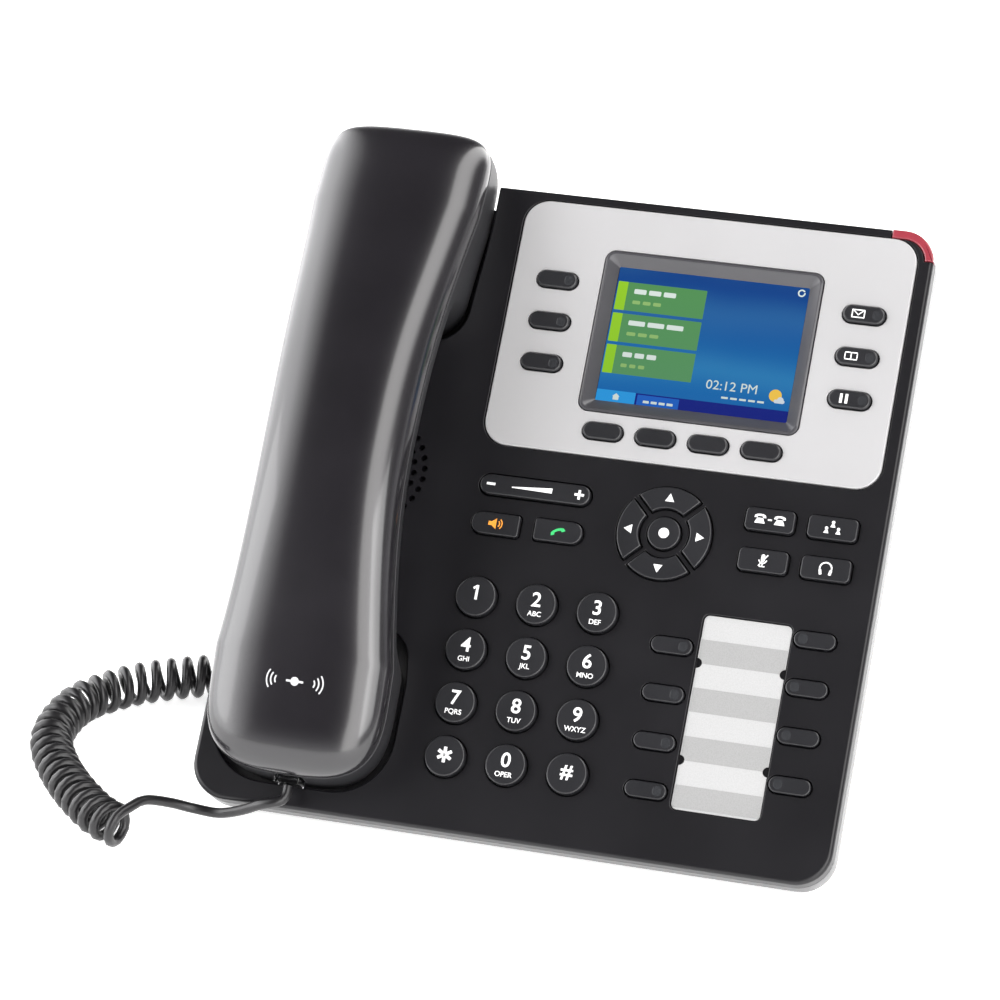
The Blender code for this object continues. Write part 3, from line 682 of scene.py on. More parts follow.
WIRE = 3.0
COIL_MIDDLE = 5.15
COIL_TURNS = 50
COIL_LEVEL = 6.65
COIL_ROUTE = [(x, y, COIL_LEVEL) for x, y in (
    (-108.0, -91.6), (-112.5, -90.0), (-118.7, -86.0), (-126.0, -79.3), (-132.5, -72.3), (-138.9, -64.0),
    (-144.3, -55.2), (-146.9, -47.9), (-147.7, -40.1), (-147.2, -32.5), (-145.0, -25.5), (-141.0, -19.8),
    (-134.7, -13.0), (-127.0, -7.6), (-115.1, -1.4), (-98.0, 5.0), (-78.0, 9.5), (-56.0, 11.0),
    (-34.0, 9.5), (-14.0, 5.5), (3.0, 0.0),
)]
TAIL_ROUTE = [
    (-105.6, -84.4, 11.4), (-103.4, -81.2, 10.6), (-98.4, -76.2, 7.4), (-92.6, -73.6, 5.0),
    (-85.0, -73.4, 4.6), (-77.4, -75.0, 7.8), (-71.6, -76.2, 11.2), (-67.6, -76.1, 12.6),
    (-65.0, -75.1, 13.2), (-64.0, -73.4, 14.45), (-64.0, -71.7, 16.27),
]
BASE_TAIL_ROUTE = [
    (8.0, 1.0, 11.6), (15.0, 0.0, 8.2), (23.0, 3.5, 3.6), (27.0, 12.0, 2.2), (24.0, 20.0, 3.4),
    (17.0, 24.5, 12.0), (12.5, 22.5, 26.0), (11.6, 14.0, 38.0), (11.6, 7.3, 45.0), (11.6, 1.5, 50.35),
]


def smooth_points(route, spacing):
    """Points about spacing apart along a smooth curve through the route's own points."""
    points = [Vector(p) for p in route]
    points = [2 * points[0] - points[1]] + points + [2 * points[-1] - points[-2]]
    dense = []
    for a, b, c, d in zip(points, points[1:], points[2:], points[3:]):
        for k in range(16):
            t = k / 16
            dense.append(0.5 * ((2 * b) + (c - a) * t + (2 * a - 5 * b + 4 * c - d) * t ** 2
                                + (3 * b - a - 3 * c + d) * t ** 3))
    dense.append(points[-2])
    travel = np.concatenate([[0.0], np.cumsum([(q - p).length for p, q in zip(dense, dense[1:])])])
    marks = np.linspace(0.0, travel[-1], max(3, round(travel[-1] / spacing) + 1))
    flat = np.array([tuple(p) for p in dense])
    return [Vector([np.interp(m, travel, flat[:, axis]) for axis in range(3)]) for m in marks]


def coil_points(per_turn=14):
    """Helix round the coil's route, from its front ring to its hidden end."""
    axis = smooth_points(COIL_ROUTE, 1.0)
    count = COIL_TURNS * per_turn
    points = []
    for k in range(count + 1):
        spot = (len(axis) - 1) * k / count
        i = min(int(spot), len(axis) - 2)
        here = axis[i].lerp(axis[i + 1], spot - i)
        ahead = axis[min(i + 2, len(axis) - 1)] - axis[max(i - 1, 0)]
        side = Vector((0.0, 0.0, 1.0)).cross(ahead).normalized()
        angle = 2 * math.pi * k / per_turn
        upward = Vector((0.0, 0.0, 1.0))
        points.append(here + COIL_MIDDLE * (math.cos(angle) * upward + math.sin(angle) * side))
    return points


def sweep(build, points, radius, sides=10):
    """Tube with flat ends along points, turning no more than it has to."""
    count = len(points)
    tangents = [(points[min(i + 1, count - 1)] - points[max(i - 1, 0)]).normalized() for i in range(count)]
    normal = tangents[0].orthogonal().normalized()
    rings = []
    for i, point in enumerate(points):
        normal = (normal - tangents[i] * normal.dot(tangents[i])).normalized()
        across = tangents[i].cross(normal)
        turns = [2 * math.pi * k / sides for k in range(sides)]
        size = radius(i / (count - 1)) if callable(radius) else radius
        rings.append([point + size * (math.cos(a) * normal + math.sin(a) * across) for a in turns])
    loft(build, rings)


def make_cord():
    """Handset cord: base tail, coil and handset tail as one wire."""
    tail = smooth_points(TAIL_ROUTE, 1.2)
    base = smooth_points(BASE_TAIL_ROUTE, 1.5)
    coil = coil_points()
    points = tail[::-1] + coil + base
    build = bmesh.new()
    sweep(build, points, WIRE / 2)
    cord = make_object("handset_cord", build, CORD, 60.0, Matrix.Scale(MM, 4))
    path = [p * MM for p in points]
    length = sum((q - p).length for p, q in zip(path, path[1:]))
    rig.slot(cord, "cord_jacket")
    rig.replaces(cord, "cord_coil", "cord_tail_handset", "cord_tail_base")
    return cord, path, length


# ---------------------------------------------------------------- casing

RIGHT, LEFT, LEFT_UPPER = 63.8, -127.0, -124.2
TOP, BOTTOM = 41.5, -155.4
CORNERS = {"bottom_right": 10.5, "top_right": 9.5, "top_left": 8.0, "bottom_left": 11.0}
WAIST = (-72.0, -108.0)
PARTING, SIDE_DEPTH, BACK = -5.0, -12.0, -26.0
DECK, WALL, GAP = 3.0, 2.2, 0.35
BACK_INSET, BACK_INSET_TOP = 9.0, 15.0
PANEL = (-60.0, -38.55, 59.1, 38.5)
PANEL_TOP, PANEL_THICK, PANEL_LEDGE = 0.4, 2.0, 3.0
FRAME_SIZE, PICTURE_SIZE = (66.0, 50.0), (57.6, 43.2)
JACK_SIZE, JACK_DEPTH, VENT_DEPTH, WELL_DEPTH = (15.4, 12.0), 14.0, 1.4, 3.2
CARD_NOTCH = 1.5
LIGHT_START, LIGHT_END, LIGHT_WIDTH, LIGHT_DEPTH = 50.4, 32.8, 2.6, 3.4
CARD = (15.6, -138.9, 41.4, -81.4)
HANDSET_X, HANDSET_TOP, HANDSET_BOTTOM = -95.6, 52.2, -147.3
SPINE_TOP, SPINE_BOTTOM = 29.0, -121.0
GRIP_HALF, EAR_HALF, MOUTH_HALF, WAIST_Y = 22.0, 25.6, 26.9, -52.0
EAR_WIDENING, MOUTH_WIDENING = 0.0006, 0.0013
SEAM_PEAK, SEAM_DROP, SEAM_SPREAD, GRIP_Y = 24.8, 16.5, 66.0, -42.0
CROWN, END_ROUND, GRIP_DEPTH, EAR_Z, MOUTH_Z = 10.6, 14.0, 9.0, -13.5, -9.0
SHELL, CUP_GAP, CUP_CORNER = 2.2, 0.45, 9.0
EAR_START, EAR_RUN, MOUTH_START, MOUTH_RUN = -12.0, 8.0, -96.5, 8.0
PLUG_SIZE, PLUG_Z = (7.65, 8.0, 6.2), 4.2
EAR_RECESS = (-121.65, -9.4, -69.55)
MOUTH_LOW, MOUTH_HIGH = -148.6, -98.4
TUB_WALL, TUB_FLOOR = 1.9, 2.0
HOOK, HOOK_SIZE = (-96.0, 14.0), (10.2, 6.2)
GRILLE_MIDDLE, GRILLE_PITCH, GRILLE_HOLE, GRILLE_RINGS = (-91.0, -50.5), 3.15, 0.95, 5
FLANGE, FLANGE_THICK = 0.6, 0.8


def body_outline(inset=0.0, top_inset=None, steps=10):
    """Outline of the base, drawn in by inset, and by top_inset at its top edge."""
    top = TOP - (inset if top_inset is None else top_inset)
    upper, lower = WAIST
    shrink = 0.6 * inset
    return rounded([
        (LEFT + inset, BOTTOM + inset, CORNERS["bottom_left"] - shrink),
        (RIGHT - inset, BOTTOM + inset, CORNERS["bottom_right"] - shrink),
        (RIGHT - inset, top, CORNERS["top_right"] - shrink),
        (LEFT_UPPER + inset, top, CORNERS["top_left"] - shrink),
        (LEFT_UPPER + inset, upper, 30.0),
        (LEFT + inset, lower, 30.0),
    ], steps)


def cup_side(y, side, grow):
    """Edge of a cradle recess beside the handset at y."""
    level = min(max(y, SPINE_BOTTOM), SPINE_TOP)
    return HANDSET_X + side * (half_width(level, 0.0) + CUP_GAP + grow)


def ear_outline(grow=0.0):
    """Recess for the ear cup, open at the base's top edge and past its top left corner."""
    low = EAR_RECESS[1] - grow
    beyond, step_y = 48.0, 29.0
    return rounded([
        (cup_side(low, -1, grow), low, 11.0 + grow), (cup_side(low, 1, grow), low, 11.0 + grow),
        (cup_side(9.0, 1, grow), 9.0, 0.0), (cup_side(20.0, 1, grow), 20.0, 0.0),
        (cup_side(SPINE_TOP, 1, grow), SPINE_TOP, 0.0), (cup_side(SPINE_TOP, 1, grow), beyond, 0.5),
        (LEFT - 4.0, beyond, 0.5), (LEFT - 4.0, step_y - grow, 0.5),
        (cup_side(step_y, -1, grow), step_y - grow, 0.5), (cup_side(20.0, -1, grow), 20.0, 0.0),
        (cup_side(9.0, -1, grow), 9.0, 0.0),
    ], 8)


def mouth_outline(grow=0.0):
    """Recess for the mouth cup, following the handset's sides."""
    low, high = MOUTH_LOW - grow, MOUTH_HIGH + grow
    return rounded([
        (cup_side(low, -1, grow), low, 17.0 + grow), (cup_side(low, 1, grow), low, 17.0 + grow),
        (cup_side(-114.0, 1, grow), -114.0, 0.0), (cup_side(high, 1, grow), high, 9.0 + grow),
        (cup_side(high, -1, grow), high, 9.0 + grow), (cup_side(-114.0, -1, grow), -114.0, 0.0),
    ], 10)


def light_outline(grow=0.0):
    """Bent strip round the top right corner."""
    radius = CORNERS["top_right"]
    x, y = RIGHT - radius, TOP - radius
    outer, inner = radius + grow, radius - LIGHT_WIDTH - grow
    arc = [math.pi / 2 * k / 16 for k in range(17)]
    points = [(x + outer, LIGHT_END - grow)]
    points += [(x + outer * math.cos(a), y + outer * math.sin(a)) for a in arc[1:]]
    points += [(LIGHT_START - grow, y + outer), (LIGHT_START - grow, y + inner)]
    points += [(x + inner * math.cos(a), y + inner * math.sin(a)) for a in arc[::-1][:-1]]
    points += [(x + inner, LIGHT_END - grow)]
    return points


def panel_outline(grow=0.0):
    x0, y0, x1, y1 = PANEL
    return box_outline(x0 - grow, y0 - grow, x1 + grow, y1 + grow, 7.5 + grow, 10)


def card_outline(grow=0.0):
    x0, y0, x1, y1 = CARD
    return box_outline(x0 - grow, y0 - grow, x1 + grow, y1 + grow, 1.6 + grow)


def grille_holes():
    holes = []
    for n in range(GRILLE_RINGS + 1):
        count = max(1, 6 * n)
        for k in range(count):
            angle = 2 * math.pi * (k + 0.5 * (n % 2)) / count
            x = GRILLE_MIDDLE[0] + n * GRILLE_PITCH * math.cos(angle)
            y = GRILLE_MIDDLE[1] + n * GRILLE_PITCH * math.sin(angle)
            holes.append(shift(circle(GRILLE_HOLE, 12), x, y))
    return holes


def flared(build, outline, low, top, radius=0.3, count=3, ledge=None):
    """Cutter for an opening with a rounded upper edge; outline is a function of growth, ledge (inset, z)."""
    turns = [math.pi / 2 * k / count for k in range(count + 1)]
    rings = [ring(outline(0.0), low)]
    if ledge:
        inset, level = ledge
        rings = [ring(outline(-inset), low), ring(outline(-inset), level), ring(outline(0.0), level)]
    rings += [ring(outline(radius * (1 - math.cos(a))), top - radius * (1 - math.sin(a))) for a in turns]
    loft(build, rings + [ring(outline(radius), top + 2.0)])


def front_casing(holes):
    """Deck with a rounded rim, side walls, cradle recesses, grille and every key opening.

    It is cut in face-frame millimetres, where its flat faces are exactly level, and then put in its place.
    """
    flat = Matrix.Identity(4)
    build = bmesh.new()
    rim = [ring(body_outline(inset), -drop) for inset, drop in round_over(1.3, 8)]
    inner = [ring(body_outline(WALL), -DECK), ring(body_outline(WALL), PARTING)]
    loft(build, [inner[0], inner[1], ring(body_outline(), PARTING)] + rim)
    item = make_object("front_casing", build, [BLACK, DARK], place=flat)
    through = -DECK - 1.0
    recesses = [
        (ear_outline, -20.0, 0.6, None), (mouth_outline, -20.0, 0.6, None),
        (lambda g: panel_outline(GAP + g), through, 0.3, (GAP + PANEL_LEDGE, -PANEL_THICK + 0.05)),
        (lambda g: light_outline(0.3 + g), -LIGHT_DEPTH - 0.3, 0.2, None),
        (lambda g: card_outline(0.3 + g), -1.3, 0.3, None),
    ]
    for outline, low, radius, ledge in recesses:
        build = bmesh.new()
        flared(build, outline, low, 0.0, radius, 4, ledge)
        cut(item, build, flat)
    build = bmesh.new()
    for outline in grille_holes():
        plate(build, outline, [], through, 1.0)
    for outline in holes:
        flared(build, outline, through, 0.0)
    cut(item, build, flat)
    item.data.transform(FACE)
    weigh(item)
    keep(item, "base", "black_casing", "front_housing")
    plated("grille_cloth", [shift(circle(18.5), *GRILLE_MIDDLE)], -DECK - 0.9, -DECK - 0.5, DARK)
    cradle()


def mouth_tray():
    """Open tray under the mouth recess."""
    floor, wall = MOUTH_Z - GAP, TUB_WALL * 0.6
    levels = [(-1.5, floor), (-0.4, floor + 0.35), (0.0, floor + 1.5), (0.0, -1.2), (wall, -1.2),
              (wall, floor - TUB_FLOOR)]
    lofted("mouth_tray", [ring(mouth_outline(grow), z) for grow, z in levels], BLACK, "base", "black_casing")


def cradle():
    """Trays of the ear and mouth recesses, with the hook's slot and a soft contact for the ear cup."""
    mouth_tray()
    _, low, right = EAR_RECESS
    floor = EAR_Z - GAP
    outer = box_outline(LEFT_UPPER + 0.2, low - TUB_WALL, right + TUB_WALL, TOP - 3.0, 3.0)
    ear = make_object("ear_tray", plates([outer], floor - TUB_FLOOR, -1.2), BLACK)
    cut(ear, plates([ear_outline()], floor, 4.0))
    cut(ear, plates([shift(pill(*HOOK_SIZE, GAP, 0.8), *HOOK)], EAR_Z - 4.0, EAR_Z + 1.0))
    soften(ear, 0.3)
    keep(ear, "base", "black_casing")
    repaint("hook_switch", KEY)
    tab = [(-101.0, 3.0), (-91.0, 3.0), (-92.2, 7.2), (-99.8, 7.2)]
    lofted("cradle_pad", [ring(tab, floor + 0.02), ring(tab, floor + 0.25)], RUBBER, "base", "black_casing")


def pill_at(x, y, width, height):
    return shift(pill(width, height), x, y)


SOLE = 1.55
JACK_STARTS = (-42.0, -20.0)
SCREWS = [(-108.0, -112.0), (-108.0, -24.0), (48.0, 14.0), (48.0, -112.0), (-62.0, 14.0)]


def level_cut(item, height):
    """Takes away everything of a piece under a level plane above the desk."""
    outline = box_outline(-150.0, -130.0, 150.0, 100.0, 1.0, 1)
    cut(item, plates([outline], -80.0, height), Matrix.Scale(MM, 4))


def rear_casing():
    """Rear casing: walls drawn in to a flat back, level sole, vents, jack bays and screw wells."""
    start = PARTING - 0.3
    build = bmesh.new()
    loft(build, [
        ring(body_outline(WALL), start - 0.8), ring(body_outline(WALL), start), ring(body_outline(), start),
        ring(body_outline(), SIDE_DEPTH + 0.4), ring(body_outline(0.35, 0.45), SIDE_DEPTH - 0.5),
        ring(body_outline(BACK_INSET - 0.6, BACK_INSET_TOP - 0.9), BACK + 0.9),
        ring(body_outline(BACK_INSET + 0.5, BACK_INSET_TOP + 0.6), BACK),
    ])
    item = make_object("rear_casing", build, BLACK_REAR, 24.0)
    level_cut(item, SOLE)
    reach = TUB_WALL + GAP
    ear = box_outline(LEFT - 4.0, EAR_RECESS[1] - reach, EAR_RECESS[2] + reach, TOP + 6.0, 2.5)
    cut(item, plates([ear], EAR_Z - GAP - TUB_FLOOR - 0.4, 4.0))
    bays = [box_outline(x, -2.0, x + JACK_SIZE[0], JACK_SIZE[1] - 2.0, 0.5) for x in JACK_STARTS]
    cut(item, plates(bays, BACK - 1.0, BACK + JACK_DEPTH))
    build = bmesh.new()
    for k in range(11):
        plate(build, pill_at(22.0, -34.0 - 5.0 * k, 40.0, 1.8), [], BACK - 1.0, BACK + VENT_DEPTH)
        plate(build, pill_at(-96.0, -34.0 - 5.0 * k, 30.0, 1.8), [], BACK - 1.0, BACK + VENT_DEPTH)
    for x, y in SCREWS:
        plate(build, shift(circle(3.6, 24), x, y), [], BACK - 1.0, BACK + WELL_DEPTH)
    cut(item, build)
    soften(item, 0.35)
    keep(item, "base", "black_casing", "rear_housing")


def jack_contacts():
    """Spring contacts and a tongue stop in each rear jack bay."""
    for number, x in enumerate(JACK_STARTS, 1):
        starts = [x + 3.9 + 1.02 * k for k in range(8)]
        springs = [box_outline(start, 3.2, start + 0.45, 8.6, 0.05, 1) for start in starts]
        plated(f"jack_contacts_{number}", springs, BACK + 6.0, BACK + 12.5, METAL)
        stop = box_outline(x + 4.6, -1.99, x + 10.8, -0.9, 0.1, 1)
        plated(f"jack_stop_{number}", [stop], BACK + 1.0, BACK + 9.0, DARK)


def screws():
    """Cross-head screws sunk into the rear casing."""
    far, near = 1.7, 0.35
    corner = [(far, -near), (far, near), (near, near), (near, far), (-near, far), (-near, near)]
    cross = corner + [(-x, -y) for x, y in corner]
    low = BACK + 3.1
    for number, (x, y) in enumerate(SCREWS):
        build = bmesh.new()
        plate(build, shift(circle(2.9, 24), x, y), [], low - 0.6, low)
        plate(build, shift(circle(2.75, 24), x, y), [shift(cross, x, y)], low - 1.4, low - 0.6)
        keep(make_object(f"screw_{number + 1}", build, METAL), "base", "black_casing")


# ---------------------------------------------------------------- keys

NAV_OUTER, NAV_INNER, NAV_CENTRE, NAV_GAP = 14.0, 7.6, 4.9, 1.0
NAV_KEYS = ("nav_right", "nav_up", "nav_left", "nav_down")
SIDE_KEYS = ("message_key", "contacts_key", "hold_key")
DIAL = ("1", "2", "3", "4", "5", "6", "7", "8", "9", "star", "0", "hash")


def nav_segment(direction, grow=0.0):
    """One quarter of the navigation ring about the ring's middle, centred on a direction in degrees."""
    middle = math.radians(direction)
    outer, inner, gap = NAV_OUTER + grow, NAV_INNER - grow, NAV_GAP - grow
    points = []
    for radius, order in ((outer, 1), (inner, -1)):
        half = math.pi / 4 - math.asin(gap / radius)
        for k in range(17):
            angle = middle + order * (2 * k / 16 - 1) * half
            points.append((radius * math.cos(angle), radius * math.sin(angle)))
    return points


def side_key(square_side, grow=0.0):
    """Speaker and send keys: round at one end, square at the other; square_side is 1 for the right end."""
    half_width, half_height = 7.25 + grow, 3.3 + grow
    soft, hard = max(3.2 + grow, 0.1), max(0.9 + grow, 0.1)
    left, right = (soft, hard) if square_side > 0 else (hard, soft)
    return rounded([(-half_width, -half_height, left), (half_width, -half_height, right),
                    (half_width, half_height, right), (-half_width, half_height, left)], 6)


def key_shapes():
    """Outline of every sprung key as a function of growth."""
    shapes = {}
    for i in range(3):
        shapes[f"line_key_{i + 1}"] = lambda g: pill(12.4, 5.0, g)
    for name in SIDE_KEYS:
        shapes[name] = lambda g: pill(12.6, 5.2, g)
    for i in range(4):
        shapes[f"soft_key_{i + 1}"] = lambda g: pill(12.0, 5.0, g)
    shapes["speaker_key"] = lambda g: side_key(1, g)
    shapes["send_key"] = lambda g: side_key(-1, g)
    for i, name in enumerate(NAV_KEYS):
        shapes[name] = lambda g, turn=90 * i: nav_segment(turn, g)
    shapes["nav_ok"] = lambda g: circle(NAV_CENTRE + g)
    for name in ("transfer_key", "conference_key", "mute_key", "headset_key"):
        shapes[name] = lambda g: pill(14.6, 6.8, g, 1.6)
    for mark in DIAL:
        shapes[f"dial_key_{mark}"] = lambda g: circle(6.0 + g, 64)
    for i in range(8):
        shapes[f"memory_key_{i + 1}"] = lambda g: pill(12.3, 4.8, g)
    return shapes


SHAPES = key_shapes()


def key_spot(name):
    """A key's middle in the face, and the height of its top."""
    low, high = node_box(name)
    if name.startswith("nav_") and name != "nav_ok":
        low_ok, high_ok = node_box("nav_ok")
        return (low_ok.x + high_ok.x) / 2, (low_ok.y + high_ok.y) / 2, high.z
    return (low.x + high.x) / 2, (low.y + high.y) / 2, high.z


def key_edge(name):
    """Radius of a key's top edge."""
    if name.startswith("dial"):
        return 0.55
    return 0.7 if "line" in name or "soft" in name or name in SIDE_KEYS else 0.45


def key_cap(name):
    """Key cap: flange, skirt, rounded top edge and a top that is dished a little towards its middle."""
    shape = SHAPES[name]
    x, y, top = key_spot(name)
    base = node_box(name)[0].z
    edge = key_edge(name)
    rings = [ring(shift(shape(FLANGE), x, y), base), ring(shift(shape(FLANGE), x, y), base + FLANGE_THICK),
             ring(shift(shape(0.0), x, y), base + FLANGE_THICK)]
    rings += [ring(shift(shape(-inset), x, y), top - drop) for inset, drop in round_over(edge, 4)]
    rings.append(ring(shift(shape(-edge - 0.35), x, y), top - 0.03))
    lofted(name + "_cap", rings, KEY, name, "key_plastic", name, angle=40.0)


def key_opening(name):
    """Opening round a key, as a function of growth."""
    x, y, _ = key_spot(name)
    return lambda grow: shift(SHAPES[name](GAP + grow), x, y)


def on_panel(name):
    x0, y0, x1, y1 = PANEL
    x, y, _ = key_spot(name)
    return x0 < x < x1 and y0 < y < y1


def rocker_plan():
    """The rocker's middle and size in the face."""
    low, high = node_box("volume_rocker")
    return (low.x + high.x) / 2, (low.y + high.y) / 2, high.x - low.x, high.y - low.y


def rocker():
    x, y, wide, tall = rocker_plan()
    low, high = node_box("volume_rocker")
    rings = [ring(shift(pill(wide, tall), x, y), low.z)]
    rings += [ring(shift(pill(wide, tall, -inset), x, y), high.z - drop)
              for inset, drop in round_over(0.6, 4)]
    lofted("rocker_cap", rings, KEY, "volume_rocker", "key_plastic", "volume_rocker", angle=40.0)
    mark = Sketch(x, y, high.z)
    mark.bar(-13.4, 0.0, 2.6, 0.75)
    mark.bar(13.4, 0.0, 2.9, 0.75)
    mark.bar(13.4, 0.0, 0.75, 2.9)
    mark.poly([(-7.0, -0.45), (5.2, -0.7), (5.2, 0.85), (-7.0, -0.15)])
    mark.finish("rocker_marks", INK, "volume_rocker")


# ---------------------------------------------------------------- printed marks

INK_THICK = 0.03


class Sketch:
    """Flat printed marks at one place on a key: shapes are in millimetres about the key's middle."""

    def __init__(self, x, y, z):
        self.place = (x, y, z)
        self.build = bmesh.new()

    def poly(self, outline):
        x, y, z = self.place
        plate(self.build, shift(outline, x, y), [], z - 0.01, z + INK_THICK)

    def bar(self, x, y, width, height, turn=0.0, radius=0.12):
        turned = Matrix.Rotation(math.radians(turn), 2)
        corner = min(radius, height / 2.1, width / 2.1)
        outline = [turned @ Vector(p) for p in pill(width, height, radius=corner)]
        self.poly([(p.x + x, p.y + y) for p in outline])

    def disc(self, x, y, radius):
        self.poly(shift(circle(radius, 24), x, y))

    def arc(self, x, y, radius, start, end, width):
        """Part of a ring between two angles in degrees."""
        turns = [math.radians(start + (end - start) * k / 14) for k in range(15)]
        outer, inner = radius + width / 2, radius - width / 2
        points = [(x + outer * math.cos(a), y + outer * math.sin(a)) for a in turns]
        points += [(x + inner * math.cos(a), y + inner * math.sin(a)) for a in turns[::-1]]
        self.poly(points)

    def words(self, text, x, y, height, weight=0.012, stretch=1.0):
        """Lettering of a given capital height, centred on (x, y)."""
        curve = bpy.data.curves.new("words", "FONT")
        curve.body = text
        curve.offset = weight
        curve.resolution_u = 4
        item = bpy.data.objects.new("words", curve)
        SCENE.link(item)
        graph = bpy.context.evaluated_depsgraph_get()
        mesh = bpy.data.meshes.new_from_object(item.evaluated_get(graph))
        bpy.data.objects.remove(item, do_unlink=True)
        flat = bmesh.new()
        flat.from_mesh(mesh)
        bmesh.ops.remove_doubles(flat, verts=flat.verts[:], dist=1e-4)
        low = Vector([min(v.co[i] for v in flat.verts) for i in range(2)])
        high = Vector([max(v.co[i] for v in flat.verts) for i in range(2)])
        size = height / 0.729
        px, py, pz = self.place
        for face in bmesh.ops.extrude_face_region(flat, geom=flat.faces[:])["geom"]:
            if isinstance(face, bmesh.types.BMVert):
                face.co.z = 1.0
        middle = (low + high) / 2
        for v in flat.verts:
            v.co.x = px + x + (v.co.x - middle.x) * size * stretch
            v.co.y = py + y + (v.co.y - middle.y) * size
            v.co.z = pz + (INK_THICK if v.co.z > 0.5 else -0.01)
        flat.to_mesh(mesh)
        flat.free()
        self.build.from_mesh(mesh)
        bpy.data.meshes.remove(mesh)

    def handset(self, x, y, size, turn):
        """Small telephone handset: a bow with two cups."""
        turned = Matrix.Rotation(math.radians(turn), 2)
        bow = [(-2.0, 0.55), (-1.2, 0.95), (0.0, 1.1), (1.2, 0.95), (2.0, 0.55), (2.25, -0.35), (1.1, -0.35),
               (1.0, 0.2), (0.0, 0.35), (-1.0, 0.2), (-1.1, -0.35), (-2.25, -0.35)]
        points = [turned @ Vector(p) * size for p in bow]
        self.poly([(p.x + x, p.y + y) for p in points])

    def wedge(self, x, y, size, top, bottom):
        """Symmetrical shape between two (half width, height) edges."""
        (high_half, high), (low_half, low) = top, bottom
        self.poly([(x - high_half * size, y + high * size), (x + high_half * size, y + high * size),
                   (x + low_half * size, y - low * size), (x - low_half * size, y - low * size)])

    def desk_phone(self, x, y, size):
        self.handset(x, y + 0.55 * size, size * 0.62, 0)
        self.wedge(x, y, size, (0.7, 0.25), (1.25, 1.0))

    def person(self, x, y, size):
        self.disc(x, y + 0.62 * size, 0.5 * size)
        self.wedge(x, y, size, (0.35, 0.05), (0.8, 0.95))

    def finish(self, name, material, body, slot="key_plastic"):
        return keep(make_object(name, self.build, material, 40.0), body, slot)


LETTERS = {"2": "ABC", "3": "DEF", "4": "GHI", "5": "JKL", "6": "MNO", "7": "PQRS", "8": "TUV", "9": "WXYZ",
           "0": "OPER"}


def dial_marks():
    for mark in DIAL:
        name = f"dial_key_{mark}"
        x, y, top = key_spot(name)
        sketch = Sketch(x, y, top - 0.03)
        if mark == "star":
            for turn in (90, 150, 210):
                sketch.bar(0.0, 0.3, 4.6, 0.95, turn, 0.1)
        elif mark == "hash":
            sketch.words("#", 0.0, 0.2, 4.3, 0.02)
        elif mark == "1":
            sketch.poly([(0.5, -1.1), (0.5, 3.3), (-0.15, 3.3), (-1.2, 2.5), (-0.9, 1.95), (-0.25, 2.35),
                         (-0.25, -1.1)])
        else:
            sketch.words(mark, 0.0, 1.35 if mark in LETTERS else 1.1, 4.4, 0.014)
        if mark in LETTERS:
            sketch.words(LETTERS[mark], 0.0, -2.95, 1.55, 0.012)
        sketch.finish(name + "_mark", INK, name)


def nav_arrow(direction):
    turned = Matrix.Rotation(math.radians(90 * direction), 2)
    tip = [turned @ Vector(p) for p in ((9.6, 1.35), (9.6, -1.35), (12.0, 0.0))]
    return ("poly", [(p.x, p.y) for p in tip])


